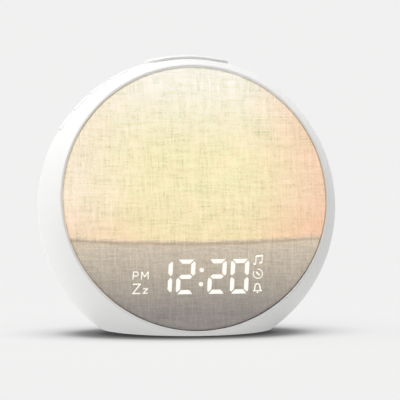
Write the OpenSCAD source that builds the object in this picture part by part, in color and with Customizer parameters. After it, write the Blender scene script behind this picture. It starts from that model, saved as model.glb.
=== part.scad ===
// Sunrise alarm clock.
// A ball-shaped moulded housing with a flat floor is cut in front by a round face that leans back.
// Linen is stretched over the face. A light box glows behind its upper part, and an LED display
// stands behind its lower part. A speaker fires through the rear cover.
// X points right, Y to the back, Z up. Z = 0 is the surface under the feet. Millimetres.

/* [Housing] */
// Radius of the ball that the housing is cut from
body_radius = 87; // [85:0.5:92]
// Wall of the front housing and the rear cover
wall = 2.4; // [2:0.1:3]
// Height of the ball's centre above the flat floor
floor_drop = 71.1; // [70:0.1:73]
// Depth of the rear crown behind the ball's centre
rear_depth = 39; // [38:0.5:44]
// Radius of the rounded shoulder between the ball and the rear crown
shoulder_radius = 24; // [20:0.5:28]
// Angle behind the widest section at which the shoulder starts
shoulder_angle = 8; // [4:0.5:12]
// Depth of the seam between the housing and the rear cover, behind the ball's centre
seam_depth = 22; // [21:0.5:25]
// Length of the tongue by which the rear cover enters the housing
tongue_length = 2.4; // [1.5:0.1:3]
// Thickness of that tongue
tongue_wall = 1.4; // [1:0.1:2]

/* [Face] */
// Angle by which the face leans back
face_tilt = 11; // [8:0.2:13]
// Radius of the linen disc
face_radius = 76.2; // [75.6:0.2:77.2]
// Gap between the linen and the lip of the housing
face_gap = 0.6; // [0.4:0.1:0.9]
// Width of the lip's flat land around the gap
lip_width = 1.2; // [1:0.1:2]
// Radius of the lip's outer edge
lip_round = 1; // [0.6:0.1:1.4]
// Depth of the linen's front below the lip
fabric_recess = 0.4; // [0:0.1:0.8]
// Thickness of the linen
fabric_t = 0.6; // [0.4:0.1:0.8]
// Radius of the linen's turned edge
fabric_round = 1; // [0.8:0.1:1.4]
// Thickness of the diffuser panel
panel_t = 2; // [1.5:0.1:3]
// Height of the hoop behind the panel
hoop_height = 3.8; // [3:0.1:5]
// Radial width of the hoop
hoop_width = 2.55; // [2.5:0.05:4]
// Thickness of the ledge that carries the hoop
ledge_t = 4; // [3.6:0.1:5]

/* [Light box] */
// Depth of the light box
light_depth = 14; // [12:0.5:15]
// Wall of the light box and the display tray
tray_wall = 1.6; // [1.2:0.1:2]
// Radius of the horizon, the lower edge of the lit zone
horizon_radius = 950; // [700:10:1400]
// Depth of the horizon's middle below the middle of the face
horizon_drop = 24.8; // [23:0.1:27]
// Pitch of the lamps on the LED board
led_pitch = 14; // [12:1:18]

/* [Display] */
// Height of a digit
digit_height = 20; // [18:0.5:20]
// Width of a digit
digit_width = 10.65; // [9.5:0.05:11]
// Width of a segment's stroke
segment_w = 2.5; // [2:0.1:2.8]
// Gap between neighbouring segments
segment_gap = 0.5; // [0.3:0.1:0.8]
// Slant of the digits
digit_slant = 4.4; // [0:0.2:8]
// Pitch of the two digits of a pair
digit_pitch = 13.1; // [12.5:0.05:14]
// Pitch of the digits on both sides of the colon
colon_pitch = 18.2; // [17:0.1:19]
// Diameter of a colon dot
colon_dot = 2.5; // [2:0.1:3]
// Depth of the digits' middle below the middle of the face
digits_drop = 45.1; // [45:0.1:46]
// Width of the display body
display_w = 79; // [78:0.2:79]
// Height of the display body
display_h = 24; // [23.4:0.2:24]
// Depth of the display body
display_t = 7.2; // [6:0.2:8]

/* [Snooze bar] */
// Length of the snooze bar
snooze_length = 49; // [46:0.5:50]
// Width of the snooze bar from front to back
snooze_width = 20; // [18:0.5:20.5]
// Distance of the bar's middle behind the ball's centre
snooze_offset = 2; // [1.5:0.1:2.2]
// Height of the bar above the housing
snooze_proud = 1.5; // [1:0.1:3]
// Travel of the snooze bar
snooze_travel = 0.8; // [0.4:0.1:1]

/* [Side buttons] */
// Angle of the row's middle, counted from the right over the top
row_angle = 131; // [129:0.5:133]
// Pitch of the buttons
button_pitch = 13.6; // [13.4:0.1:14]
// Length of a button along the row
button_length = 11.2; // [10:0.1:11.3]
// Width of a button from front to back
button_width = 10; // [8:0.5:10]
// Height of the buttons above the housing
button_proud = 0.3; // [0:0.1:1]
// Travel of a side button
button_travel = 0.5; // [0.3:0.1:0.6]

/* [Speaker] */
// Radius of the grille disc
grille_radius = 27; // [26:0.5:28]
// Radius of a hole in the grille
grille_hole = 0.95; // [0.7:0.05:1.1]
// Pitch of the rings of holes
grille_pitch = 3.4; // [3:0.1:4]
// Radius of the loudspeaker's mounting flange
speaker_radius = 25.5; // [24.5:0.5:26]
// Depth of the loudspeaker behind its flange
speaker_depth = 20; // [18:0.5:21]
// Height of the speaker's middle above the ball's centre
speaker_rise = 4; // [0:0.5:6]

/* [Power inlet and backup cell] */
// Bore of the power inlet
inlet_bore = 5.7; // [5:0.1:6]
// Diameter of the inlet's centre pin
inlet_pin = 2; // [1.6:0.1:2.5]
// Depth of the inlet's middle below the ball's centre
inlet_drop = 46; // [44:0.5:48]
// Diameter of the backup cell
cell_d = 20; // [18:0.5:20]
// Thickness of the backup cell
cell_t = 3.2; // [2.5:0.1:3.2]
// Turn that frees the battery cover
cover_turn = 40; // [30:1:50]

/* [Feet and fasteners] */
// Radius of a rubber foot
foot_radius = 5.5; // [4:0.5:6]
// Height of a foot below the floor
foot_proud = 0.8; // [0.5:0.1:1.5]
// Radius of the circle of housing screws
post_circle = 73; // [72:0.2:73.4]
// Radius of a housing screw post
post_radius = 3.4; // [3.2:0.1:3.8]
// Thread radius of the housing screws
screw_radius = 1.5; // [1.2:0.1:1.7]
// Thread radius of the small screws inside
small_screw = 1.1; // [0.9:0.1:1.2]

/* [Hidden] */

// Clearances
fit = 0.05;            // between parts that locate in each other
bore_fit = 0.03;       // round a pin, thread or shaft
key_gap = 0.35;        // round a button in its slot
near = 0.3;            // between parts that may move or light up apart
slice = 1;             // how far a cutter reaches past what it cuts
far = 400;             // larger than the whole clock
round_fn = 180;        // facets of the large rounds
small_fn = 40;         // facets of the small rounds

// Housing form
inner_radius = body_radius - wall;
shoulder_y = (body_radius - shoulder_radius) * sin(shoulder_angle);
shoulder_r = (body_radius - shoulder_radius) * cos(shoulder_angle);
shoulder_reach = rear_depth - shoulder_y;
crown_radius = (pow(shoulder_r, 2) + pow(shoulder_reach, 2) - pow(shoulder_radius, 2))
    / (2 * (shoulder_reach - shoulder_radius));
crown_y = rear_depth - crown_radius;
floor_top = wall - floor_drop;
shoulder_lean = atan2(shoulder_r, shoulder_y - crown_y);
blend = 0.01;

// Face stack, counted along the face's normal from the ball's centre
opening_radius = face_radius + face_gap;
lip_radius = opening_radius + lip_width;
lip_plane = sqrt(pow(body_radius, 2) - pow(lip_radius, 2));
round_plane = lip_plane - lip_round;
round_radius = sqrt(pow(body_radius - lip_round, 2) - pow(round_plane, 2));
fabric_front = lip_plane - fabric_recess;
fabric_back = fabric_front - fabric_t;
panel_back = fabric_back - panel_t;
ledge_front = panel_back - hoop_height;
ledge_back = ledge_front - ledge_t;
panel_radius = face_radius - fabric_t - fit;
ledge_radius = panel_radius - hoop_width;
front_reach = round_plane * cos(face_tilt) + round_radius * sin(face_tilt) + lip_round;
rear_reach = crown_y + sqrt(pow(crown_radius, 2) - pow(grille_radius + fit - speaker_rise, 2));

// The ball's centre, with the clock's box centred over the origin
ball_y = (front_reach - rear_reach) / 2;
ball_z = floor_drop + foot_proud;

// Light box and display tray
box_radius = ledge_radius - 1;
box_front = panel_back - near;
box_back = box_front - light_depth;
ear_t = 2;
ear_back = ledge_back - ear_t;
ear_circle = (ledge_radius + opening_radius) / 2;
ear_radius = 3.6;
light_ears = [-5, 60, 120, 185];
tray_ears = [-35, -145];
horizon_y = horizon_radius - horizon_drop;
led_board_t = 1.6;
led_size = [3.5, 2.8, 0.8];
led_margin = 5;
lead_hole = 3;
led_exit = [30, -12];
digits_y = -digits_drop;
display_front = fabric_back - 0.1;
display_back = display_front - display_t;
board_t = 1.6;
display_board_back = display_back - board_t;
display_board = [display_w + 15, 21];
display_screw_x = display_w / 2 + 4;
display_exit = [6, digits_y + display_h / 2 - 0.5];
segment_depth = 1.5;
digits_right = 28.75;
pin_pitch = 5.08;
pin_count = 12;
pin_rows = 15.24;
pin_radius = 0.3;
pin_length = 0.8;

// Main board, behind the light box
main_gap = 6.4;
main_front = box_back - main_gap;
main_back = main_front - board_t;
main_size = [90, 54];
main_y = 19;
screw_edge = 5;
main_screws = [for (sx = [-1, 1], sy = [-1, 1])
    [sx * (main_size[0] / 2 - screw_edge), sy * (main_size[1] / 2 - screw_edge)]];
standoff_radius = 3;
chip_t = 1.2;
chips = [[-12, 22, 12, 12], [18, 8, 6, 5], [4, 30, 6, 5], [-30, 12, 5, 4]];
cap_radius = 4;
cap_height = 10;
caps = [[30, 30], [30, 19]];
connector = [8, 5, 5];
plug_edge = 6;
lower_plugs = main_y - main_size[1] / 2 + plug_edge;
upper_plugs = main_y + main_size[1] / 2 - plug_edge;
speaker_plug = [-28, lower_plugs];
power_plug = [28, lower_plugs];
display_plug = [display_exit[0], lower_plugs];
battery_plug = [-8, lower_plugs];
snooze_plug = [8, upper_plugs];
side_plug = [-26, upper_plugs];
led_plug = [main_size[0] / 2 - plug_edge, 6];
plugs = [speaker_plug, power_plug, display_plug, battery_plug, snooze_plug, side_plug, led_plug];

// Snooze bar, along the vertical from the ball's centre
key_lip = 1.2;
key_wall = 2;
snooze_end = (snooze_length - snooze_width) / 2;
snooze_reach = norm([snooze_end, snooze_offset]) + snooze_width / 2 + key_lip;
snooze_bottom = sqrt(pow(inner_radius - near, 2) - pow(snooze_reach, 2)) - 1.5;
guide_x = 15;
guide_radius = 2;
guide_wall = 1.6;
bracket_t = 1.6;
bracket_top = body_radius - 16;
guide_top = bracket_top + 4;
bracket_bottom = bracket_top - bracket_t;
guide_bottom = bracket_bottom - 1;
bracket_x = guide_x + guide_radius + guide_wall + 0.4;
bracket_front = -4.5;
bracket_boss = [14, 16.4];
boss_radius = 2.8;
snooze_board_size = [18, 10];
switch_size = [6, 6, 3.5];
stem_radius = 1.7;
stem_room = 0.3;
snooze_seat = bracket_top + board_t;
snooze_stem_top = snooze_seat + switch_size[2] + 1.5;

// Side buttons, along the normal of their board
side_lip = 0.9;
side_corner = 2;
side_end = 1.5 * button_pitch + button_length / 2;
side_reach = norm([side_end + side_lip, button_width / 2 + side_lip]);
side_bottom = sqrt(pow(inner_radius - near, 2) - pow(side_reach, 2)) - 1.2;
side_board_top = body_radius - 15.4;
side_board_x = side_end + 1;
side_board_front = -5;
side_board_rear = 12.4;
side_boss = [20, 9.5];

// Speaker, along the depth
grille_t = 1.5;
grille_front = rear_depth - crown_radius + sqrt(pow(crown_radius, 2)
    - pow(grille_radius + speaker_rise, 2)) - 0.3;
grille_seat = grille_front - grille_t;
grille_rings = floor((grille_radius - 3) / grille_pitch);
collar_radius = speaker_radius + 2;
collar_bore = speaker_radius - 2.5;
collar_depth = 6;
collar_front = grille_seat - collar_depth;
gasket_t = 0.5;
flange_t = 1.5;
flange_rear = collar_front - gasket_t;
flange_front = flange_rear - flange_t;
speaker_screw_circle = speaker_radius + 5;
basket_radius = 21.5;
basket_t = 1.2;
magnet_radius = 16;
magnet_t = 6;
plate_t = 1.5;
plate_radius = 14;
magnet_front = flange_rear - speaker_depth;
magnet_rear = magnet_front + magnet_t + 2 * plate_t;
coil_radius = 7;
pole_radius = 6.2;
cone_front = magnet_rear + 2.6;
cone_rear = flange_rear - 1.2;
cone_radius = basket_radius - 4;
cone_t = 0.7;
cap_round = 11;
cap_drop = 6.5;

// Power inlet
inlet_recess = 1.47;
inlet_seat = crown_y + sqrt(pow(crown_radius, 2) - pow(inlet_drop, 2)) - inlet_recess;
jack_nose = 4.2;
jack_size = [9, 12, 10.5];
jack_bore_depth = 10;
pin_root = 2;
pad_radius = 8;
shelf_x = 10;
shelf_front = 24;
inlet_screw = [7.4, 27.5];
inlet_board_top = -inlet_drop - jack_size[2] / 2;

// Backup cell, over the floor
battery_y = -8;
hatch_radius = 15;
hatch_t = 1.2;
plug_radius = 12.8;
plug_gap = 0.2;
tab_radius = 14.6;
tab_width = 6;
tab_t = 1.2;
tab_bottom = floor_top + near;
plug_top = tab_bottom + tab_t;
well_bore = 15.2;
well_wall = 1.8;
well_top = floor_top + 6.7;
holder_t = 1.6;
cell_bottom = plug_top + near;
contact_t = 0.3;
contact_w = 4;

// Leads
lead_radius = 0.9;
lead_sides = 8;
lead_steps = 5;

// Feet and screws
foot_depth = 0.8;
foot_spots = [[-33, -25], [33, -25], [-31, 10], [31, 10]];
post_angles = [20, 160, 230, 310];
post_front = -6;
rib_t = 1.8;
head_radius = 2.9;
head_height = 2;
head_seat = seam_depth + 2.5;
column_radius = 4.6;
small_head = 2.2;
small_head_t = 1.3;

// Moves from the ball's centre, or the face's own frame, to the clock's frame
module at_ball() { translate([0, ball_y, ball_z]) children(); }
module at_face() { at_ball() rotate([90 - face_tilt, 0, 0]) children(); }
module in_face() { rotate([90 - face_tilt, 0, 0]) children(); }
module along_y(y) { translate([0, y, 0]) rotate([-90, 0, 0]) children(); }
module in_row() { rotate([0, 90 - row_angle, 0]) children(); }
function face_point(p) = [p[0], p[1] * sin(face_tilt) - p[2] * cos(face_tilt),
    p[1] * cos(face_tilt) + p[2] * sin(face_tilt)];

// Flat shapes
module stadium(length, width) {
    square([length - width, width], center = true);
    for (side = [-1, 1]) translate([side * (length - width) / 2, 0]) circle(width / 2, $fn = round_fn);
}
module rounded_square(length, width, corner) {
    square([length - 2 * corner, width], center = true);
    square([length, width - 2 * corner], center = true);
    for (sx = [-1, 1], sy = [-1, 1])
        translate([sx * (length / 2 - corner), sy * (width / 2 - corner)]) circle(corner, $fn = small_fn);
}

// A round plate from z = 0 with a rounded upper edge
module rounded_disc(radius, height, edge) {
    rotate_extrude($fn = round_fn) {
        square([radius - edge, height]);
        square([radius, height - edge]);
        translate([radius - edge, height - edge]) intersection() {
            circle(edge, $fn = small_fn);
            square(edge);
        }
    }
}
module ring(outer, inner, height) {
    difference() {
        cylinder(r = outer, h = height, $fn = round_fn);
        translate([0, 0, -slice]) cylinder(r = inner, h = height + 2 * slice, $fn = round_fn);
    }
}

// Screw with its head's underside at z = 0 and its thread downwards
module screw(thread, length, head, head_t) {
    slot = head * 0.28;
    difference() {
        cylinder(r = head, h = head_t, $fn = small_fn);
        for (turn = [0, 90]) rotate([0, 0, turn])
            translate([-head * 0.6, -slot / 2, head_t * 0.4]) cube([head * 1.2, slot, head_t]);
    }
    translate([0, 0, -length]) cylinder(r = thread, h = length, $fn = small_fn);
}

// Half section of the rear of the body, radius over depth, set in from the outer skin.
// The shoulder stands proud of its neighbours by a hair, so that the three rounds cross cleanly.
module rear_section(inset) {
    shoulder = shoulder_radius - inset;
    translate([shoulder_r, shoulder_y]) circle(shoulder + blend, $fn = round_fn);
    intersection() {
        translate([0, crown_y]) circle(crown_radius - inset, $fn = 6 * round_fn);
        square([shoulder_r + shoulder * sin(shoulder_lean), far]);
    }
}

// The whole body set in from its outer skin, with its flat floor
module form(inset) {
    ball_end = shoulder_y + (shoulder_radius - inset) * sin(shoulder_angle);
    intersection() {
        union() {
            intersection() {
                sphere(body_radius - inset, $fn = 2 * round_fn);
                translate([-far / 2, ball_end - far, -far / 2]) cube(far);
            }
            rotate([-90, 0, 0]) rotate_extrude($fn = round_fn) rear_section(inset);
        }
        translate([-far / 2, -far / 2, inset - floor_drop]) cube(far);
    }
}
module behind_seam() { translate([-far / 2, seam_depth, -far / 2]) cube(far); }
module within_wall() { intersection() { form(wall / 2); children(); } }

// Lip and ledge round the face, in the face's frame
module lip_round_cut() {
    outward = [round_radius, round_plane] / (body_radius - lip_round);
    rotate_extrude($fn = round_fn) difference() {
        polygon([[round_radius, round_plane], [round_radius, round_plane + 3],
            [round_radius + 3, round_plane + 3], [round_radius, round_plane] + 3 * outward]);
        translate([round_radius, round_plane]) circle(lip_round + blend, $fn = small_fn);
    }
}
module face_collar() {
    translate([0, 0, ledge_back]) ring(far / 3, ledge_radius, far);
}
module face_cut() {
    translate([0, 0, lip_plane]) cylinder(r = far, h = far, $fn = round_fn);
    translate([0, 0, ledge_front]) cylinder(r = opening_radius, h = far, $fn = round_fn);
    lip_round_cut();
}
module on_ears(angles, z) {
    for (turn = angles) rotate([0, 0, turn]) translate([ear_circle, 0, z]) children();
}

// Screw posts of the housing, in the depth direction
module on_posts(y) {
    for (turn = post_angles) rotate([0, -turn, 0]) translate([post_circle, y, 0]) rotate([-90, 0, 0])
        children();
}
module post_ribs() {
    for (turn = post_angles) rotate([0, -turn, 0])
        translate([post_circle, post_front + 2, -rib_t / 2])
            cube([body_radius - post_circle, seam_depth - post_front - 4, rib_t]);
}

// Solids of the keys and the slots that they pass through
module snooze_prism(grow, z) {
    translate([0, snooze_offset, z]) linear_extrude(far / 4)
        stadium(snooze_length + 2 * grow, snooze_width + 2 * grow);
}
module side_prism(index, grow, z) {
    translate([(index - 2.5) * button_pitch, 0, z]) linear_extrude(far / 4)
        rounded_square(button_length + 2 * grow, button_width + 2 * grow, side_corner + grow);
}
module snooze_bosses(radius, z, height) {
    for (side = [-1, 1]) translate([side * bracket_boss[0], bracket_boss[1], z])
        cylinder(r = radius, h = height, $fn = small_fn);
}
module side_bosses(radius, z, height) {
    for (side = [-1, 1]) translate([side * side_boss[0], side_boss[1], z])
        cylinder(r = radius, h = height, $fn = small_fn);
}

// Hatch for the backup cell, cut through the floor
module hatch_cut() {
    translate([0, battery_y, 0]) {
        translate([0, 0, -floor_drop - slice])
            cylinder(r = hatch_radius + near, h = hatch_t + slice, $fn = round_fn);
        translate([0, 0, -floor_drop]) cylinder(r = plug_radius + plug_gap, h = 2 * wall, $fn = round_fn);
        rotate([0, 0, -cover_turn]) translate([0, 0, -floor_drop]) intersection() {
            cylinder(r = tab_radius + near, h = 2 * wall, $fn = round_fn);
            translate([-tab_width / 2 - 0.5, -far / 2, 0]) cube([tab_width + 1, far, 2 * wall]);
        }
    }
}

module front_housing() {
    color("white") at_ball() difference() {
        union() {
            difference() {
                form(0);
                form(wall);
            }
            within_wall() in_face() face_collar();
            within_wall() on_posts(post_front) cylinder(r = post_radius, h = far, $fn = small_fn);
            within_wall() post_ribs();
            within_wall() snooze_bosses(boss_radius, bracket_top, far);
            within_wall() in_row() side_bosses(boss_radius, side_board_top, far);
            translate([0, battery_y, floor_top - wall / 2])
                ring(well_bore + well_wall, well_bore, well_top - floor_top + wall / 2);
        }
        in_face() face_cut();
        behind_seam();
        snooze_prism(key_gap, snooze_bottom - 4);
        in_row() for (index = [1:4]) side_prism(index, key_gap, side_bottom - 4);
        hatch_cut();
        on_posts(post_front + 3) cylinder(r = screw_radius + bore_fit, h = far, $fn = small_fn);
        snooze_bosses(small_screw + bore_fit, bracket_top - slice, 6 + slice);
        in_row() side_bosses(small_screw + bore_fit, side_board_top - slice, 5 + slice);
        in_face() on_ears(concat(light_ears, tray_ears), ledge_back - slice)
            cylinder(r = small_screw + bore_fit, h = ledge_t - 0.4 + slice, $fn = small_fn);
        for (spot = foot_spots) translate([spot[0], spot[1], -floor_drop - slice])
            cylinder(r = foot_radius + fit, h = foot_depth + slice, $fn = small_fn);
    }
}

module tongue() {
    intersection() {
        difference() {
            form(wall + fit * 4);
            form(wall + fit * 4 + tongue_wall);
        }
        translate([-far / 2, seam_depth - tongue_length, -far / 2]) cube([far, tongue_length + 2, far]);
    }
    intersection() {
        difference() {
            form(wall - 0.5);
            form(wall + fit * 4 + tongue_wall);
        }
        translate([-far / 2, seam_depth, -far / 2]) cube([far, 2, far]);
    }
}
module on_speaker_screws(y) {
    along_y(y) for (turn = [45:90:315]) rotate([0, 0, turn])
        translate([speaker_screw_circle, 0, 0]) children();
}
module on_inlet_screws(z) {
    for (side = [-1, 1]) translate([side * inlet_screw[0], inlet_screw[1], z]) children();
}
module speaker_axis() { translate([0, 0, speaker_rise]) children(); }

module rear_cover() {
    color("white") at_ball() difference() {
        union() {
            intersection() {
                difference() {
                    form(0);
                    form(wall);
                }
                behind_seam();
            }
            difference() {
                tongue();
                on_posts(post_front)
                    cylinder(r = post_radius + near, h = seam_depth - post_front, $fn = small_fn);
                for (turn = post_angles) rotate([0, -turn, 0])
                    translate([post_circle, post_front, -rib_t / 2 - near])
                        cube([far, seam_depth - post_front, rib_t + 2 * near]);
            }
            within_wall() on_posts(seam_depth) cylinder(r = column_radius, h = far, $fn = small_fn);
            within_wall() speaker_axis() along_y(collar_front)
                cylinder(r = collar_radius, h = far, $fn = round_fn);
            within_wall() speaker_axis() on_speaker_screws(flange_rear)
                cylinder(r = boss_radius, h = far, $fn = small_fn);
            within_wall() translate([0, 0, -inlet_drop]) along_y(inlet_seat - wall)
                cylinder(r = pad_radius, h = far, $fn = small_fn);
            within_wall() translate([-shelf_x, shelf_front, inlet_board_top - board_t - 2])
                cube([2 * shelf_x, far, 2]);
            on_inlet_screws(inlet_board_top - board_t - 5) cylinder(r = boss_radius, h = 4, $fn = small_fn);
        }
        on_posts(seam_depth - slice) cylinder(r = screw_radius + 0.2, h = far, $fn = small_fn);
        on_posts(head_seat) cylinder(r = head_radius + 0.4, h = far, $fn = small_fn);
        speaker_axis() along_y(collar_front - slice) cylinder(r = collar_bore, h = far, $fn = round_fn);
        speaker_axis() along_y(grille_seat) cylinder(r = grille_radius + fit, h = far, $fn = round_fn);
        speaker_axis() on_speaker_screws(flange_rear - slice)
            cylinder(r = small_screw + bore_fit, h = 4 + slice, $fn = small_fn);
        translate([0, 0, -inlet_drop]) along_y(inlet_seat)
            cylinder(r = pad_radius - 1.5, h = far, $fn = small_fn);
        translate([0, 0, -inlet_drop]) along_y(inlet_seat - wall - slice)
            cylinder(r = jack_nose + fit, h = far, $fn = small_fn);
        on_inlet_screws(inlet_board_top - board_t - 4)
            cylinder(r = small_screw + bore_fit, h = 6, $fn = small_fn);
    }
}

module speaker_grille() {
    color("whitesmoke") at_ball() speaker_axis() along_y(grille_seat) linear_extrude(grille_t) difference() {
        circle(grille_radius, $fn = round_fn);
        circle(grille_hole, $fn = 16);
        for (k = [1:grille_rings], j = [0:6 * k - 1]) rotate(60 * j / k)
            translate([k * grille_pitch, 0]) circle(grille_hole, $fn = 16);
    }
}

module fabric_face() {
    hem = ledge_front + near;
    color("antiquewhite") at_face() difference() {
        translate([0, 0, hem]) rounded_disc(face_radius, fabric_front - hem, fabric_round);
        translate([0, 0, hem - slice])
            rounded_disc(panel_radius + fit, fabric_back - hem + slice, fabric_round - fabric_t);
    }
}
module face_hoop() {
    color("white") at_face() translate([0, 0, ledge_front]) ring(panel_radius, ledge_radius, hoop_height);
}
module diffuser_panel() {
    color("ivory") at_face() difference() {
        translate([0, 0, panel_back]) rounded_disc(panel_radius, panel_t, fabric_round - fabric_t);
        translate([0, digits_y, panel_back - slice]) linear_extrude(panel_t + 2 * slice)
            rounded_square(display_w + 2 * near, display_h + 2 * near, 1);
    }
}

// Upper part of the face above the horizon, and the part below it, set in by a wall
module lit_zone(inset) {
    intersection() {
        circle(box_radius - inset, $fn = round_fn);
        translate([0, horizon_y]) circle(horizon_radius - inset, $fn = 8 * round_fn);
    }
}
module dark_zone(inset) {
    difference() {
        circle(box_radius - inset, $fn = round_fn);
        translate([0, horizon_y]) circle(horizon_radius + near + inset, $fn = 8 * round_fn);
    }
}
module ear_plate(angles) {
    for (turn = angles) rotate([0, 0, turn]) difference() {
        union() {
            translate([box_radius - tray_wall / 2, -ear_radius, ear_back])
                cube([ear_circle - box_radius + tray_wall / 2, 2 * ear_radius, ear_t]);
            translate([ear_circle, 0, ear_back]) cylinder(r = ear_radius, h = ear_t, $fn = small_fn);
        }
        translate([ear_circle, 0, ear_back - slice])
            cylinder(r = small_screw + 0.2, h = ear_t + 2 * slice, $fn = small_fn);
    }
}
module on_main_screws(z) {
    for (spot = main_screws) translate([spot[0], main_y + spot[1], z]) children();
}

module light_box() {
    color("white") at_face() difference() {
        union() {
            difference() {
                translate([0, 0, box_back]) linear_extrude(light_depth) lit_zone(0);
                translate([0, 0, box_back + tray_wall]) linear_extrude(light_depth) lit_zone(tray_wall);
            }
            ear_plate(light_ears);
            on_main_screws(main_front) cylinder(r = standoff_radius, h = main_gap, $fn = small_fn);
        }
        on_main_screws(main_front - slice)
            cylinder(r = small_screw + bore_fit, h = main_gap - 0.6 + slice, $fn = small_fn);
        translate([led_exit[0], led_exit[1], box_back - slice])
            cylinder(r = lead_hole, h = tray_wall + 2 * slice, $fn = small_fn);
    }
}
module led_board() {
    color("gainsboro") at_face() difference() {
        translate([0, 0, box_back + tray_wall]) linear_extrude(led_board_t) lit_zone(tray_wall + led_margin);
        translate([led_exit[0], led_exit[1], box_back])
            cylinder(r = lead_radius + near, h = light_depth / 2, $fn = small_fn);
    }
}
module leds() {
    reach = box_radius - 2 * led_margin - tray_wall;
    rows = ceil(reach / led_pitch);
    color("lightyellow") at_face() for (i = [-rows:rows], j = [-rows:rows])
        if (norm([i, j + 0.5]) * led_pitch < reach && (j + 0.5) * led_pitch > 2 * led_margin - horizon_drop)
            translate([i * led_pitch - led_size[0] / 2, (j + 0.5) * led_pitch - led_size[1] / 2,
                box_back + tray_wall + led_board_t]) cube(led_size);
}

module display_tray() {
    color("dimgray") at_face() difference() {
        union() {
            difference() {
                translate([0, 0, ear_back]) linear_extrude(box_front - ear_back) dark_zone(0);
                translate([0, 0, ledge_back]) linear_extrude(far) dark_zone(tray_wall);
            }
            ear_plate(tray_ears);
            for (side = [-1, 1]) translate([side * display_screw_x, digits_y, ledge_back - 0.5])
                cylinder(r = boss_radius, h = display_board_back - ledge_back + 0.5, $fn = small_fn);
        }
        for (side = [-1, 1]) translate([side * display_screw_x, digits_y, ear_back + 0.4])
            cylinder(r = small_screw + bore_fit, h = far, $fn = small_fn);
        translate([display_exit[0], display_exit[1], ear_back - slice])
            cylinder(r = lead_hole, h = ear_t + 2 * slice, $fn = small_fn);
    }
}
module display_board() {
    color("darkgreen") at_face() difference() {
        translate([0, 0, display_board_back]) linear_extrude(board_t) intersection() {
            translate([0, digits_y]) rounded_square(display_board[0], display_board[1], 1.5);
            dark_zone(tray_wall + near);
        }
        for (side = [-1, 1]) translate([side * display_screw_x, digits_y, display_board_back - slice])
            cylinder(r = small_screw + 0.2, h = board_t + 2 * slice, $fn = small_fn);
    }
}

// Outlines of the seven segments of a digit, before the slant, counted from its lower left corner
function stroke(length, half) = [[0, 0], [half, half], [length - half, half], [length, 0],
    [length - half, -half], [half, -half]];
function segment_points(k) =
    let (w = digit_width, h = digit_height, t = segment_w, g = segment_gap / 2, m = h / 2)
    k == 0 ? [[2 * g, h], [w - 2 * g, h], [w - t - 2 * g, h - t], [t + 2 * g, h - t]] :
    k == 1 ? [[w, h - 2 * g], [w, m + g], [w - t / 2, m + g], [w - t, m + t / 2 + g],
        [w - t, h - t - 2 * g]] :
    k == 2 ? [[w, m - g], [w, 2 * g], [w - t, t + 2 * g], [w - t, m - t / 2 - g], [w - t / 2, m - g]] :
    k == 3 ? [[2 * g, 0], [w - 2 * g, 0], [w - t - 2 * g, t], [t + 2 * g, t]] :
    k == 4 ? [[0, 2 * g], [0, m - g], [t / 2, m - g], [t, m - t / 2 - g], [t, t + 2 * g]] :
    k == 5 ? [[0, m + g], [0, h - 2 * g], [t, h - t - 2 * g], [t, m + t / 2 + g], [t / 2, m + g]] :
    [for (p = stroke(w - t, t / 2)) [p[0] + t / 2, p[1] + m]];
function slanted(p) = [p[0] + p[1] * tan(digit_slant), p[1]];
digit_lefts = [for (k = [0:3]) digits_right - digit_width - (3 - k) * digit_pitch
    - (k < 2 ? colon_pitch - digit_pitch : 0)];
colon_x = digits_right - digit_width - digit_pitch - (colon_pitch - digit_width) / 2;
colon_spots = [0.28 * digit_height, 0.68 * digit_height];

module segments(shrink) {
    translate([0, digits_y - digit_height / 2]) {
        for (left = digit_lefts, k = [0:6]) translate([left, 0]) {
            points = [for (p = segment_points(k)) slanted(p)];
            middle = [for (axis = [0, 1]) [for (p = points) p[axis]] * [for (p = points) 1] / len(points)];
            polygon([for (p = points) p - shrink * (p - middle) / norm(p - middle)]);
        }
        for (y = colon_spots) translate(slanted([colon_x, y]))
            circle(colon_dot / 2 - shrink, $fn = small_fn);
    }
}
module display_body() {
    color("black") at_face() difference() {
        translate([0, digits_y, display_back]) linear_extrude(display_t)
            rounded_square(display_w, display_h, 1);
        translate([0, 0, display_front - segment_depth]) linear_extrude(far) segments(0);
    }
}
module display_segments() {
    color("white") at_face() translate([0, 0, display_front - segment_depth])
        linear_extrude(segment_depth) segments(fit);
}
module display_pins() {
    color("silver") at_face() translate([0, digits_y, display_board_back - pin_length])
        for (side = [-1, 1], k = [0:pin_count - 1])
            translate([(k - (pin_count - 1) / 2) * pin_pitch, side * pin_rows / 2])
                cylinder(r = pin_radius, h = pin_length, $fn = 16);
}

module main_board() {
    color("darkgreen") at_face() difference() {
        translate([0, main_y, main_back]) linear_extrude(board_t)
            rounded_square(main_size[0], main_size[1], 2.5);
        on_main_screws(main_back - slice)
            cylinder(r = small_screw + 0.2, h = board_t + 2 * slice, $fn = small_fn);
    }
}
module main_chips() {
    color("black") at_face() for (chip = chips)
        translate([chip[0] - chip[2] / 2, chip[1] - chip[3] / 2, main_back - chip_t])
            cube([chip[2], chip[3], chip_t]);
}
module capacitors() {
    color("darkslateblue") at_face() for (spot = caps) translate([spot[0], spot[1], main_back - cap_height])
        cylinder(r = cap_radius, h = cap_height, $fn = small_fn);
}
module board_connectors() {
    color("ivory") at_face() for (spot = plugs)
        translate([spot[0] - connector[0] / 2, spot[1] - connector[1] / 2, main_back - connector[2]])
            cube(connector);
}
module main_board_screws() {
    color("silver") at_face() on_main_screws(main_back) mirror([0, 0, 1])
        screw(small_screw, 6, small_head, small_head_t);
}

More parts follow.
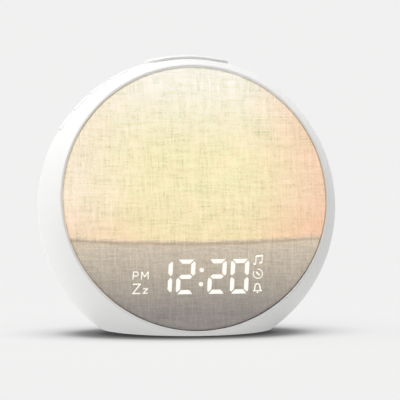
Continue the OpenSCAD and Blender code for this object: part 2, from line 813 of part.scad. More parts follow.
module on_guides(z) {
    for (side = [-1, 1]) translate([side * guide_x, snooze_offset, z]) children();
}
module snooze_cap(grow, radius) {
    intersection() {
        snooze_prism(grow, snooze_bottom);
        rotate([90, 0, 0]) sphere(radius, $fn = round_fn);
    }
}
module snooze_button() {
    skin = body_radius + snooze_proud;
    guide_end = sqrt(pow(skin, 2) - pow(guide_x, 2)) - key_wall / 2;
    color("white") at_ball() {
        difference() {
            union() {
                snooze_cap(0, skin);
                snooze_cap(key_lip, inner_radius - near);
            }
            translate([0, 0, -slice]) snooze_cap(-key_wall, skin - key_wall + slice);
        }
        translate([0, snooze_offset, snooze_stem_top])
            cylinder(r = stem_radius + 0.8, h = skin - key_wall / 2 - snooze_stem_top, $fn = small_fn);
        on_guides(guide_bottom) cylinder(r = guide_radius, h = guide_end - guide_bottom, $fn = small_fn);
    }
}
module snooze_bracket() {
    rear = bracket_boss[1] + boss_radius;
    color("white") at_ball() difference() {
        union() {
            translate([-bracket_x, bracket_front, bracket_bottom])
                cube([2 * bracket_x, rear - bracket_front, bracket_t]);
            on_guides(bracket_bottom)
                cylinder(r = guide_radius + guide_wall, h = guide_top - bracket_bottom, $fn = small_fn);
        }
        on_guides(bracket_bottom - slice) cylinder(r = guide_radius + fit, h = far, $fn = small_fn);
        snooze_bosses(small_screw + 0.2, bracket_top - 2 * bracket_t, 3 * bracket_t);
    }
}
module tact_body() {
    difference() {
        translate([-switch_size[0] / 2, -switch_size[1] / 2, 0]) cube(switch_size);
        translate([0, 0, 1]) cylinder(r = stem_radius + fit, h = far, $fn = small_fn);
    }
}
module snooze_board() {
    color("darkgreen") at_ball()
        translate([-snooze_board_size[0] / 2, snooze_offset - snooze_board_size[1] / 2, bracket_top])
            cube([snooze_board_size[0], snooze_board_size[1], board_t]);
}
module snooze_switch() {
    color("dimgray") at_ball() translate([0, snooze_offset, snooze_seat]) tact_body();
}
module snooze_plunger() {
    bottom = snooze_seat + 1 + snooze_travel + stem_room;
    color("black") at_ball() translate([0, snooze_offset, bottom])
        cylinder(r = stem_radius, h = snooze_stem_top - bottom, $fn = small_fn);
}

module side_button(index) {
    color("white") at_ball() in_row() {
        intersection() {
            side_prism(index, 0, side_bottom);
            sphere(body_radius + button_proud, $fn = round_fn);
        }
        intersection() {
            side_prism(index, side_lip, side_bottom);
            sphere(inner_radius - near, $fn = round_fn);
        }
    }
}
module side_plunger(index) {
    bottom = side_board_top + 1 + button_travel + stem_room;
    color("black") at_ball() in_row() translate([(index - 2.5) * button_pitch, 0, bottom])
        cylinder(r = stem_radius, h = side_bottom - bottom, $fn = small_fn);
}
module side_button_1() { side_button(1); }
module side_button_2() { side_button(2); }
module side_button_3() { side_button(3); }
module side_button_4() { side_button(4); }
module side_plunger_1() { side_plunger(1); }
module side_plunger_2() { side_plunger(2); }
module side_plunger_3() { side_plunger(3); }
module side_plunger_4() { side_plunger(4); }
module side_switch_board() {
    color("darkgreen") at_ball() in_row() difference() {
        translate([-side_board_x, side_board_front, side_board_top - board_t])
            cube([2 * side_board_x, side_board_rear - side_board_front, board_t]);
        side_bosses(small_screw + 0.2, side_board_top - 2 * board_t, 3 * board_t);
    }
}
module side_switches() {
    color("dimgray") at_ball() in_row() for (index = [1:4])
        translate([(index - 2.5) * button_pitch, 0, side_board_top]) tact_body();
}

// Speaker, built along the depth with the flange against the rear collar
module on_speaker(y) { at_ball() speaker_axis() along_y(y) children(); }
module speaker_frame() {
    color("dimgray") on_speaker(0) difference() {
        union() {
            translate([0, 0, flange_front]) cylinder(r = speaker_radius, h = flange_t, $fn = round_fn);
            for (turn = [45:90:315]) rotate([0, 0, turn]) translate([0, -boss_radius, flange_front])
                cube([speaker_screw_circle, 2 * boss_radius, flange_t]);
            for (turn = [45:90:315]) rotate([0, 0, turn]) translate([speaker_screw_circle, 0, flange_front])
                cylinder(r = boss_radius, h = flange_t, $fn = small_fn);
            translate([0, 0, magnet_rear]) cylinder(r1 = plate_radius, r2 = basket_radius + basket_t,
                h = flange_front - magnet_rear, $fn = round_fn);
        }
        translate([0, 0, magnet_rear + basket_t]) cylinder(r1 = plate_radius - basket_t, r2 = basket_radius,
            h = flange_rear - magnet_rear - basket_t + blend, $fn = round_fn);
        translate([0, 0, cone_rear]) cylinder(r = basket_radius, h = flange_t, $fn = round_fn);
        translate([0, 0, magnet_rear - slice]) cylinder(r = coil_radius + 0.8, h = 4, $fn = small_fn);
        for (turn = [0:60:300]) rotate([0, 0, turn])
            translate([plate_radius - 3, -3.5, magnet_rear + 2.5])
                cube([far, 7, flange_front - magnet_rear - 4]);
        for (turn = [45:90:315]) rotate([0, 0, turn]) translate([speaker_screw_circle, 0, 0])
            cylinder(r = small_screw + 0.2, h = far, $fn = small_fn);
    }
}
module speaker_magnet() {
    color("gray") on_speaker(magnet_front) {
        difference() {
            union() {
                cylinder(r = plate_radius, h = plate_t, $fn = round_fn);
                translate([0, 0, plate_t]) cylinder(r = magnet_radius, h = magnet_t, $fn = round_fn);
                translate([0, 0, plate_t + magnet_t]) cylinder(r = plate_radius, h = plate_t, $fn = round_fn);
            }
            translate([0, 0, plate_t]) cylinder(r = coil_radius + 0.8, h = far, $fn = small_fn);
        }
        translate([0, 0, plate_t / 2])
            cylinder(r = pole_radius, h = magnet_t + 1.5 * plate_t, $fn = small_fn);
    }
}
module cone_space(grow) {
    translate([0, 0, cone_front - blend]) cylinder(r1 = coil_radius + grow,
        r2 = cone_radius - cone_t + grow, h = cone_rear - cone_front + 2 * blend, $fn = round_fn);
}
module speaker_cone() {
    color("darkslategray") on_speaker(0) {
        difference() {
            translate([0, 0, cone_front]) cylinder(r1 = coil_radius + cone_t, r2 = cone_radius,
                h = cone_rear - cone_front, $fn = round_fn);
            cone_space(0);
        }
        intersection() {
            translate([0, 0, cone_front - cap_drop]) difference() {
                sphere(cap_round, $fn = round_fn);
                sphere(cap_round - cone_t, $fn = round_fn);
            }
            cone_space(cone_t / 2);
        }
    }
}
module speaker_surround() {
    inner = cone_radius - cone_t;
    outer = basket_radius - fit;
    color("black") on_speaker(cone_rear) rotate_extrude($fn = round_fn) translate([(inner + outer) / 2, 0])
        difference() {
            circle((outer - inner) / 2, $fn = small_fn);
            circle((outer - inner) / 2 - cone_t, $fn = small_fn);
            translate([-far / 2, -far]) square(far);
        }
}
module voice_coil() {
    color("peru") on_speaker(magnet_rear - 5)
        ring(coil_radius + 0.3, coil_radius - 0.2, 5 + cone_front - magnet_rear);
}
module speaker_gasket() {
    color("black") on_speaker(flange_rear) ring(speaker_radius - 0.3, collar_bore + 0.2, gasket_t);
}
module speaker_screws() {
    color("silver") at_ball() speaker_axis() on_speaker_screws(flange_front) rotate([180, 0, 0])
        screw(small_screw, 5, small_head, small_head_t);
}

module dc_jack() {
    color("black") at_ball() translate([0, 0, -inlet_drop]) difference() {
        union() {
            translate([-jack_size[0] / 2, inlet_seat - wall - jack_size[1], -jack_size[2] / 2])
                cube(jack_size);
            along_y(inlet_seat - wall - 2) cylinder(r = jack_nose, h = wall + 2, $fn = small_fn);
        }
        along_y(inlet_seat - jack_bore_depth) cylinder(d = inlet_bore, h = far, $fn = small_fn);
        along_y(inlet_seat - jack_bore_depth - pin_root)
            cylinder(r = inlet_pin / 2 + bore_fit, h = far, $fn = small_fn);
    }
}
module dc_pin() {
    color("silver") at_ball() translate([0, 0, -inlet_drop]) along_y(inlet_seat - jack_bore_depth - pin_root)
        cylinder(d = inlet_pin, h = jack_bore_depth + pin_root - 1, $fn = small_fn);
}
module inlet_board() {
    front = inlet_seat - wall - jack_size[1] - 3;
    color("darkgreen") at_ball() difference() {
        translate([-shelf_x, front, inlet_board_top - board_t])
            cube([2 * shelf_x, inlet_seat - wall - 1 - front, board_t]);
        on_inlet_screws(inlet_board_top - 2 * board_t)
            cylinder(r = small_screw + 0.2, h = 3 * board_t, $fn = small_fn);
    }
}
module inlet_screws() {
    color("silver") at_ball() on_inlet_screws(inlet_board_top)
        screw(small_screw, 5, small_head, small_head_t);
}

module at_battery(z) { at_ball() translate([0, battery_y, z]) children(); }
module battery_holder() {
    color("black") difference() {
        union() {
            at_battery(cell_bottom + 0.5) cylinder(r = well_bore - near / 2, h = well_top - cell_bottom - 0.5,
                $fn = round_fn);
            at_battery(well_top) cylinder(r = well_bore + well_wall, h = holder_t, $fn = round_fn);
        }
        at_battery(cell_bottom) cylinder(d = cell_d + 2 * near, h = well_top - cell_bottom, $fn = round_fn);
        at_battery(cell_bottom) translate([cell_d / 2 - 0.2, -contact_w / 2 - 0.2, 0])
            cube([1, contact_w + 0.4, well_top - cell_bottom]);
    }
}
module battery_contacts() {
    top = well_top - cell_bottom - cell_t;
    color("goldenrod") {
        at_battery(cell_bottom + cell_t) translate([0, contact_w / 2, 0]) rotate([90, 0, 0])
            linear_extrude(contact_w) polygon([[-7, top], [-7, top - contact_t], [-2, 0], [2, 0],
                [7, top - contact_t], [7, top], [6.4, top], [1.8, contact_t],
                [-1.8, contact_t], [-6.4, top]]);
        at_battery(cell_bottom + 1) translate([cell_d / 2 + 0.05, -contact_w / 2, 0])
            cube([contact_t, contact_w, well_top - cell_bottom - 1]);
    }
}
module coin_cell() {
    color("silver") at_battery(cell_bottom) {
        cylinder(d = cell_d, h = cell_t * 0.8, $fn = round_fn);
        cylinder(d = cell_d - 2.4, h = cell_t, $fn = round_fn);
    }
}
module battery_cover() {
    color("white") difference() {
        union() {
            at_battery(-floor_drop) cylinder(r = hatch_radius, h = hatch_t, $fn = round_fn);
            at_battery(-floor_drop + hatch_t / 2)
                cylinder(r = plug_radius, h = plug_top + floor_drop - hatch_t / 2, $fn = round_fn);
            at_battery(tab_bottom) intersection() {
                cylinder(r = tab_radius, h = tab_t, $fn = round_fn);
                translate([-tab_width / 2, -far / 2, 0]) cube([tab_width, far, tab_t]);
            }
        }
        at_battery(-floor_drop - slice) translate([-7, -0.9, 0]) cube([14, 1.8, 0.8 + slice]);
    }
}

module rubber_feet() {
    color("dimgray") at_ball() for (spot = foot_spots)
        translate([spot[0], spot[1], foot_depth - floor_drop]) mirror([0, 0, 1])
            rounded_disc(foot_radius, foot_depth + foot_proud, 0.4);
}
module housing_screws() {
    color("silver") at_ball() on_posts(head_seat) screw(screw_radius, 12, head_radius, head_height);
}
module face_screws() {
    color("silver") {
        at_face() on_ears(concat(light_ears, tray_ears), ear_back) rotate([180, 0, 0])
            screw(small_screw, ear_t + ledge_t - 1, small_head, small_head_t);
        at_face() for (side = [-1, 1]) translate([side * display_screw_x, digits_y, display_back])
            screw(small_screw, 3.6, small_head, small_head_t);
    }
}
module bracket_screws() {
    color("silver") at_ball() {
        for (side = [-1, 1]) translate([side * bracket_boss[0], bracket_boss[1], bracket_top - bracket_t])
            rotate([180, 0, 0]) screw(small_screw, 6, small_head, small_head_t);
        in_row() for (side = [-1, 1]) translate([side * side_boss[0], side_boss[1], side_board_top - board_t])
            rotate([180, 0, 0]) screw(small_screw, 5, small_head, small_head_t);
    }
}

// A lead is a round tube swept along a smooth curve through its route's points
function spline(p, i, u) = let (a = p[max(i - 1, 0)], b = p[i], c = p[i + 1], d = p[min(i + 2, len(p) - 1)])
    0.5 * (2 * b + (c - a) * u + (2 * a - 5 * b + 4 * c - d) * u * u + (3 * b - a - 3 * c + d) * u * u * u);
function route(p) = concat([for (i = [0:len(p) - 2], k = [0:lead_steps - 1]) spline(p, i, k / lead_steps)],
    [p[len(p) - 1]]);
function unit(v) = v / norm(v);
module lead(points, up) {
    path = route(points);
    last = len(path) - 1;
    rings = [for (i = [0:last]) let (
        along = i == 0 ? unit(points[1] - points[0]) :
            i == last ? unit(points[len(points) - 1] - points[len(points) - 2]) :
            unit(path[i + 1] - path[i - 1]),
        side = unit(cross(along, up)),
        top = cross(side, along))
        for (k = [0:lead_sides - 1])
            path[i] + lead_radius * (cos(360 * k / lead_sides) * side + sin(360 * k / lead_sides) * top)];
    walls = [for (i = [0:last - 1], k = [0:lead_sides - 1]) let (n = (k + 1) % lead_sides)
        [i * lead_sides + k, (i + 1) * lead_sides + k, (i + 1) * lead_sides + n, i * lead_sides + n]];
    ends = [[for (k = [0:lead_sides - 1]) k],
        [for (k = [lead_sides - 1:-1:0]) last * lead_sides + k]];
    at_ball() polyhedron(rings, concat(walls, ends));
}
function at_plug(spot, z) = face_point([spot[0], spot[1], main_back - connector[2] - z]);

module speaker_lead() {
    tag = basket_radius + 2.5;
    color("firebrick") lead([at_plug(speaker_plug, 0), at_plug(speaker_plug, 4), [-26, 8, 1],
        [-tag, flange_front - 5, speaker_rise], [-tag, flange_front, speaker_rise]], [0, 0, 1]);
}
module power_lead() {
    front = inlet_seat - wall - jack_size[1] - 3;
    color("firebrick") lead([at_plug(power_plug, 0), at_plug(power_plug, 5), [22, 4, -20], [10, 6, -44],
        [4, front - 4, inlet_board_top - board_t / 2], [4, front, inlet_board_top - board_t / 2]],
        [1, 0, 0]);
}
module display_lead() {
    color("lightgray") lead([at_plug(display_plug, 0), at_plug(display_plug, 5), [6, -8, -16],
        [6, -24, -28], face_point([display_exit[0], display_exit[1], ear_back - 4]),
        face_point([display_exit[0], display_exit[1], display_board_back])], [1, 0, 0]);
}
module button_leads() {
    pad = bracket_top + lead_radius + near;
    color("lightgray") {
        lead([at_plug(snooze_plug, 0), at_plug(snooze_plug, 5), [8, 10, 59], [8, 18.5, 65], [8, 22.2, 70.5],
            [8, 20.4, 73.8], [8, 14, pad], [8, snooze_offset + snooze_board_size[1] / 2, pad]], [1, 0, 0]);
        lead([at_plug(side_plug, 0), at_plug(side_plug, 5), [-32, 10, 46], [-42, 16, 52],
            [-46.6, side_board_rear + 4, 53], [-46.6, side_board_rear, 53]], [0, 0, 1]);
    }
}
module battery_lead() {
    color("firebrick") lead([at_plug(battery_plug, 0), at_plug(battery_plug, 5), [-8, -4, -30],
        [-8, battery_y, -52], [-8, battery_y, well_top + holder_t]], [1, 0, 0]);
}
module led_lead() {
    color("lightgray") lead([at_plug(led_plug, 0), at_plug(led_plug, 4), face_point([46, -8, main_back]),
        face_point([46, -12, box_back - 4]), face_point([38, -12, box_back - 4.5]),
        face_point([led_exit[0], led_exit[1], box_back - 3]),
        face_point([led_exit[0], led_exit[1], box_back + tray_wall])], [0.3, 0.2, 1]);
}

front_housing();
rear_cover();
speaker_grille();
fabric_face();
face_hoop();
diffuser_panel();
light_box();
led_board();
leds();
display_tray();
display_board();
display_body();
display_segments();
display_pins();
main_board();
main_chips();
capacitors();
board_connectors();
main_board_screws();
snooze_button();
snooze_bracket();
snooze_board();
snooze_switch();
snooze_plunger();
side_button_1();
side_button_2();
side_button_3();
side_button_4();
side_plunger_1();
side_plunger_2();
side_plunger_3();
side_plunger_4();
side_switch_board();
side_switches();
speaker_frame();
speaker_magnet();
speaker_cone();
speaker_surround();
voice_coil();
speaker_gasket();
speaker_screws();
dc_jack();
dc_pin();
inlet_board();
battery_holder();
battery_contacts();
coin_cell();
battery_cover();
rubber_feet();
housing_screws();
face_screws();
bracket_screws();
inlet_screws();
speaker_lead();
power_lead();
display_lead();
button_leads();
battery_lead();
led_lead();
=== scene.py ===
# %% [markdown]
# # A sunrise alarm clock, dressed for its portrait
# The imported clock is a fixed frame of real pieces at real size. This script never moves them. It gives
# every piece a finish, and makes finer pieces where they are needed: the linen, the lit digits and the
# keys. Everything is in metres, X to the right, Y to the back and Z up.

import math

import bmesh
import bpy
from mathutils import Matrix, Vector


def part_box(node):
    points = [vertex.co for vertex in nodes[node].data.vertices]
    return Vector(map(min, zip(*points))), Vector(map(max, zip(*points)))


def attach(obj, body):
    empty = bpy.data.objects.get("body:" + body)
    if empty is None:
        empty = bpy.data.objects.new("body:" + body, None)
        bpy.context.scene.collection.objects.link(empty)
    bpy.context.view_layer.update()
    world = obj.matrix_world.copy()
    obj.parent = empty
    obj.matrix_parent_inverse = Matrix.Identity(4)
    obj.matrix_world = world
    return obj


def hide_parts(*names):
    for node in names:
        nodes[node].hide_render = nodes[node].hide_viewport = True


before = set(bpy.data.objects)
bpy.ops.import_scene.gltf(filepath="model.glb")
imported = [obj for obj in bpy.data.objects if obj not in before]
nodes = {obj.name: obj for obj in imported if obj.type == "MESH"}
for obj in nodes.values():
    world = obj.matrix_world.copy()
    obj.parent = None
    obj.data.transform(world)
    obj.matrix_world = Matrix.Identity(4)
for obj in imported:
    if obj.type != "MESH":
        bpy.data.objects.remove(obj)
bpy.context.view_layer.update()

# %% [markdown]
# ## Two frames to build in
# The clock is cut from a ball, and its round face leans back. Most pieces are easiest to place from the
# ball's centre, or from the face's own right, up and outward directions. The centre is found from the
# packed housing's box, so that it follows the solids, and the directions from the lean of the face.

# %% Sizes and frames
MM = 0.001
BALL_RADIUS = 87.0
FLOOR_DROP = 71.1
FRONT_REACH = 52.610
FACE_TILT = math.radians(11.0)
LINEN_RADIUS = 76.2
LINEN_FRONT = 38.136

low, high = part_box("front_housing")
BALL = Vector((0, low.y + FRONT_REACH * MM, low.z + FLOOR_DROP * MM))
FACE_RIGHT = Vector((1, 0, 0))
FACE_UP = Vector((0, math.sin(FACE_TILT), math.cos(FACE_TILT)))
FACE_OUT = Vector((0, -math.cos(FACE_TILT), math.sin(FACE_TILT)))


def on_face(x, y, out):
    """The place of a point that lies this many millimetres right, up and out along the face."""
    return BALL + (FACE_RIGHT * x + FACE_UP * y + FACE_OUT * out) * MM


def put_in_scene(name, content):
    """A new object of this name in the scene, with a mesh or a camera in it."""
    made = bpy.data.objects.new(name, content)
    bpy.context.scene.collection.objects.link(made)
    return made


print("ball centre", [round(v, 4) for v in BALL])
print("face middle", [round(v, 4) for v in on_face(0, 0, LINEN_FRONT)])

# %% [markdown]
# ## Camera
# A long lens far away keeps the ball round, as a catalogue picture does. The camera stands a little to
# the left of the clock and a little above it. Its place is worked out backwards: from where the ball's
# centre has to land in a square picture of 400 points.

# %% Set up the camera
PICTURE = 400
FOCAL = 4465.6
BALL_AT = (186.32, 206.55)
DISTANCE = 30 * BALL_RADIUS * MM
YAW = math.radians(8.0)
RISE = math.radians(3.86)

towards_camera = Vector((-math.sin(YAW) * math.cos(RISE), -math.cos(YAW) * math.cos(RISE), math.sin(RISE)))
camera_right = Vector((math.cos(YAW), -math.sin(YAW), 0))
camera_up = towards_camera.cross(camera_right)
shift_right = (BALL_AT[0] - PICTURE / 2) / FOCAL * DISTANCE
shift_up = (PICTURE / 2 - BALL_AT[1]) / FOCAL * DISTANCE
lens = bpy.data.cameras.new("portrait_lens")
lens.sensor_width = 36
lens.lens = FOCAL / PICTURE * lens.sensor_width
lens.clip_end = 100
camera = put_in_scene("portrait_camera", lens)
camera.location = BALL + towards_camera * DISTANCE - camera_right * shift_right - camera_up * shift_up
camera.rotation_euler = (math.pi / 2 - RISE, 0, -YAW)
bpy.context.scene.camera = camera
print("lens", round(lens.lens, 1), "mm, camera at", [round(v, 3) for v in camera.location])

# %% [markdown]
# ## Building node trees
# Shaders and Geometry Nodes are both trees of small steps. A few helpers keep the trees short: one adds
# a node and feeds its sockets, and the others do a sum, fade a value between two limits, mix colours or
# open a group. They serve both kinds of tree.


# %% Helpers for node trees
def add(tree, kind, sockets=None, **settings):
    """Adds a node, sets its properties, and feeds its sockets with numbers or other nodes' outputs."""
    made = tree.nodes.new(kind)
    for name, value in settings.items():
        setattr(made, name, value)
    for key, value in (sockets or {}).items():
        if isinstance(value, bpy.types.NodeSocket):
            tree.links.new(value, made.inputs[key])
        else:
            made.inputs[key].default_value = value
    return made


def calc(tree, operation, first, second=0.0, third=0.0, clamp=False):
    """One sum on numbers or sockets, such as 'ADD' or 'MULTIPLY'."""
    return add(tree, "ShaderNodeMath", {0: first, 1: second, 2: third}, operation=operation,
               use_clamp=clamp).outputs[0]


def fade(tree, value, start, end, low=0.0, high=1.0):
    """Turns smoothly from low to high while value goes from start to end."""
    made = add(tree, "ShaderNodeMapRange", {"Value": value, "From Min": start, "From Max": end,
               "To Min": low, "To Max": high}, interpolation_type="SMOOTHSTEP")
    return made.outputs["Result"]


def blend_colours(tree, share, first, second, mode="MIX"):
    """Mixes two colours, each a socket or a plain colour."""
    return add(tree, "ShaderNodeMix", {0: share, 6: first, 7: second}, data_type="RGBA",
               blend_type=mode).outputs[2]


def pictured(tree):
    """1 for a ray that makes the picture, also off a mirror or through glass, and 0 for one of light."""
    rays = add(tree, "ShaderNodeLightPath").outputs
    return calc(tree, "MAXIMUM", rays["Is Camera Ray"],
                calc(tree, "MAXIMUM", rays["Is Glossy Ray"], rays["Is Transmission Ray"]))


def grey(light):
    """A grey of this light value, as a colour."""
    return light, light, light, 1


def group_tree(name, kind, inputs, outputs):
    """A node group with named inputs (name, socket type, default) and outputs (name, socket type)."""
    tree = bpy.data.node_groups.new(name, kind)
    for label, socket_type, default in inputs:
        socket = tree.interface.new_socket(label, in_out="INPUT", socket_type=socket_type)
        if default is not None:
            socket.default_value = default
    for label, socket_type in outputs:
        tree.interface.new_socket(label, in_out="OUTPUT", socket_type=socket_type)
    entry = tree.nodes.new("NodeGroupInput")
    leave = tree.nodes.new("NodeGroupOutput")
    return tree, entry.outputs, leave.inputs


def linear(colour):
    """A colour picked on screen (0 to 255) as the light values that shaders work in."""
    parts = [c / 255 for c in colour]
    return tuple(c / 12.92 if c <= 0.04045 else ((c + 0.055) / 1.055) ** 2.4 for c in parts) + (1.0,)


print("a mid grey of 128 is", round(linear((128, 128, 128))[0], 3), "in light")

# %% [markdown]
# ## Room and light
# A product table is lit by two soft boxes: a large one overhead, and a low one to the left and a little
# behind, half hidden by the table's edge. The world does that here, with two soft patches on a nearly
# dark dome, so that no lamp has a hard edge. A wall gets about the light that shows its colour as it is
# written: a little more on the upper left, and down to half of it under the shell. Only the camera, a
# mirror and glass see the plain pale backdrop.

# %% Light the studio
BACKDROP = linear((241, 241, 241))[0]
DOME_DIM = 0.02
OVERHEAD = 2.70
OVERHEAD_FROM = 0.53
SIDE_BOX = 5.87
SIDE_FROM = 0.62
SIDE_TOWARDS = Vector((-0.88, 0.36, -0.30)).normalized()
LAMP_TINT = (1.0, 0.995, 0.985, 1)

world = bpy.data.worlds.new("studio_dome")
bpy.context.scene.world = world
world.use_nodes = True
dome = world.node_tree
dome.nodes.clear()
direction = add(dome, "ShaderNodeTexCoord").outputs["Generated"]
facing = add(dome, "ShaderNodeVectorMath", {0: direction, 1: SIDE_TOWARDS},
             operation="DOT_PRODUCT").outputs["Value"]
height = add(dome, "ShaderNodeSeparateXYZ", {0: direction}).outputs[2]
strength = calc(dome, "ADD", fade(dome, facing, SIDE_FROM, 1.0, 0.0, SIDE_BOX),
                fade(dome, height, OVERHEAD_FROM, 1.0, DOME_DIM, DOME_DIM + OVERHEAD))
lit = add(dome, "ShaderNodeBackground", {"Color": LAMP_TINT, "Strength": strength})
seen = add(dome, "ShaderNodeBackground", {"Color": grey(BACKDROP), "Strength": 1.0})
both = add(dome, "ShaderNodeMixShader", {0: pictured(dome), 1: lit.outputs[0], 2: seen.outputs[0]})
add(dome, "ShaderNodeOutputWorld", {"Surface": both.outputs[0]})
print("soft boxes of", OVERHEAD, "overhead and", SIDE_BOX, "at the side")

# %% [markdown]
# The floor reaches far behind the clock, so no edge shows. It is a matt sheet of pale paper. The camera
# sees it mostly in the backdrop's own tone, and a quarter of it shows the real light and shade. Right
# under the clock a painted shadow darkens the sheet's colour in an oval pool, standing for the closest
# shade that no soft box reaches. The painted shadow is written as a list: how light it is at each
# distance from its middle, where 1 is its oval. The shell's underside hangs over that shade, and most of
# the light that the sheet sends up is a painted glow of its own at the level of the open sheet, which no
# shade dims, so that the underside stays pale.

# %% Lay the floor
FLOOR_SPAN = 60.0
FLOOR_SEEN = 0.735
FLOOR_BOUNCE = 0.72
FLOOR_LIT = 0.25
OPEN_SHEET = 0.86
OPEN_SHARE = 0.7
# The pool of shade under the clock is a painted shadow: its middle, size, reach and tones follow.
SHADOW_POOL_FRONT = 22.0
SHADOW_POOL_LEFT = 2.5
SHADOW_POOL_SIZE = (77.0, 45.0)
SHADOW_POOL_REACH = 1.5
SHADOW_POOL_TONES = ((0.50, 0.06), (0.63, 0.10), (0.71, 0.21), (0.79, 0.28), (0.83, 0.35), (0.87, 0.45),
              (0.91, 0.55), (0.98, 0.72), (1.04, 0.81), (1.15, 0.90), (1.30, 0.97), (1.45, 1.0))

floor_paper = bpy.data.materials.new("floor_paper")
floor_paper.use_nodes = True
paper = floor_paper.node_tree
paper.nodes.clear()
laid = add(paper, "ShaderNodeMapping", {"Vector": add(paper, "ShaderNodeTexCoord").outputs["Object"],
           "Location": (-SHADOW_POOL_LEFT * MM, BALL.y - SHADOW_POOL_FRONT * MM, 0),
           "Scale": (SHADOW_POOL_SIZE[0] * MM, SHADOW_POOL_SIZE[1] * MM, 1)}, vector_type="TEXTURE")
far_out = add(paper, "ShaderNodeVectorMath", {0: laid.outputs[0]}, operation="LENGTH").outputs["Value"]
# Painted shadow: how light the floor is painted at each distance from the pool's middle.
painted_shadow = add(paper, "ShaderNodeValToRGB", {0: calc(paper, "DIVIDE", far_out, SHADOW_POOL_REACH)})
stops = painted_shadow.color_ramp.elements
while len(stops) < len(SHADOW_POOL_TONES):
    stops.new(1.0)
for stop, (out, tone) in zip(stops, SHADOW_POOL_TONES):
    stop.position = out / SHADOW_POOL_REACH
    stop.color = grey(tone)
# Painted light: to every ray but the picture's, most of the sheet is an emitting glow at the open sheet's
# level, which no shadow dims.
bounce = add(paper, "ShaderNodeBsdfDiffuse", {"Color": grey(FLOOR_BOUNCE)})
floor_glow = add(paper, "ShaderNodeEmission", {"Color": grey(OPEN_SHEET)})
sent_up = add(paper, "ShaderNodeMixShader", {0: OPEN_SHARE, 1: bounce.outputs[0], 2: floor_glow.outputs[0]})
# Both the backdrop tone and the lit paper are darkened by the painted shadow.
shaded_backdrop = blend_colours(paper, 1.0, painted_shadow.outputs[0], grey(BACKDROP), "MULTIPLY")
paint = blend_colours(paper, 1.0, painted_shadow.outputs[0], grey(FLOOR_SEEN), "MULTIPLY")
plain_part = add(paper, "ShaderNodeEmission", {"Color": shaded_backdrop})
lit_part = add(paper, "ShaderNodeBsdfDiffuse", {"Color": paint})
shown = add(paper, "ShaderNodeMixShader", {0: FLOOR_LIT, 1: plain_part.outputs[0], 2: lit_part.outputs[0]})
sheet = add(paper, "ShaderNodeMixShader", {0: pictured(paper), 1: sent_up.outputs[0], 2: shown.outputs[0]})
add(paper, "ShaderNodeOutputMaterial", {"Surface": sheet.outputs[0]})
floor_mesh = bpy.data.meshes.new("floor")
half = FLOOR_SPAN / 2
corners = [(-half, -half, 0), (half, -half, 0), (half, half, 0), (-half, half, 0)]
floor_mesh.from_pydata(corners, [], [(0, 1, 2, 3)])
floor_mesh.materials.append(floor_paper)
floor = put_in_scene("floor", floor_mesh)
print("floor", FLOOR_SPAN, "m across")

# %% [markdown]
# ## Moulded plastic
# Injection-moulded plastic is never one flat colour. Its skin has a fine spark-eroded grain, its gloss
# drifts a little over the wall, and its tone with it. One node group makes the three from noise at two
# scales, and each plastic in the clock takes it with its own grain and gloss.

# %% Node group: moulded skin
CLOUD_SCALE = 28.0
GRAIN_GLOSS = 0.10
CLOUD_GLOSS = 0.06
SKIN_BUMP = 0.35

skin, taken, given = group_tree("moulded_skin", "ShaderNodeTree", [
    ("Vector", "NodeSocketVector", None),
    ("Colour", "NodeSocketColor", (0.8, 0.8, 0.8, 1)),
    ("Grain Size", "NodeSocketFloat", 0.3),
    ("Roughness", "NodeSocketFloat", 0.4),
    ("Drift", "NodeSocketFloat", 0.02)], [
    ("Colour", "NodeSocketColor"),
    ("Roughness", "NodeSocketFloat"),
    ("Height", "NodeSocketFloat")])
grain_scale = calc(skin, "DIVIDE", 1 / MM, taken["Grain Size"])
grain = add(skin, "ShaderNodeTexNoise", {"Vector": taken["Vector"], "Scale": grain_scale, "Detail": 3.0})
cloud = add(skin, "ShaderNodeTexNoise", {"Vector": taken["Vector"], "Scale": CLOUD_SCALE, "Detail": 2.0})
swing = calc(skin, "SUBTRACT", cloud.outputs[0], 0.5)
value = calc(skin, "MULTIPLY_ADD", swing, taken["Drift"], 1.0)
tone = add(skin, "ShaderNodeHueSaturation", {"Color": taken["Colour"], "Value": value})
rough = calc(skin, "MULTIPLY_ADD", calc(skin, "SUBTRACT", grain.outputs[0], 0.5), GRAIN_GLOSS,
             taken["Roughness"])
skin.links.new(tone.outputs[0], given["Colour"])
skin.links.new(calc(skin, "MULTIPLY_ADD", swing, CLOUD_GLOSS, rough, clamp=True), given["Roughness"])
skin.links.new(grain.outputs[0], given["Height"])
print("moulded_skin:", len(skin.nodes), "nodes")


# %% Materials from the moulded skin
def new_material(name):
    """An empty material with its tree, its surface shader and its Object coordinates."""
    material = bpy.data.materials.new(name)
    material.use_nodes = True
    tree = material.node_tree
    tree.nodes.clear()
    shader = add(tree, "ShaderNodeBsdfPrincipled")
    add(tree, "ShaderNodeOutputMaterial", {"Surface": shader.outputs[0]})
    return material, tree, shader, add(tree, "ShaderNodeTexCoord").outputs["Object"]


def feed_shader(tree, shader, made, bump_strength, depth):
    """Gives a shader the colour, gloss and relief that a group makes; depth is in millimetres."""
    bump = add(tree, "ShaderNodeBump", {"Height": made.outputs["Height"], "Strength": bump_strength,
               "Distance": depth * MM})
    tree.links.new(made.outputs["Colour"], shader.inputs["Base Color"])
    tree.links.new(made.outputs["Roughness"], shader.inputs["Roughness"])
    tree.links.new(bump.outputs[0], shader.inputs["Normal"])


def plastic(name, colour, grain_size, roughness, drift=0.03, depth=0.02, coat=0.0):
    """Moulded plastic of a screen colour; grain and depth are in millimetres."""
    material, tree, shader, place = new_material(name)
    made = add(tree, "ShaderNodeGroup", {"Vector": place, "Colour": linear(colour),
               "Grain Size": grain_size, "Roughness": roughness, "Drift": drift}, node_tree=skin)
    feed_shader(tree, shader, made, SKIN_BUMP, depth)
    shader.inputs["Coat Weight"].default_value = coat
    return material


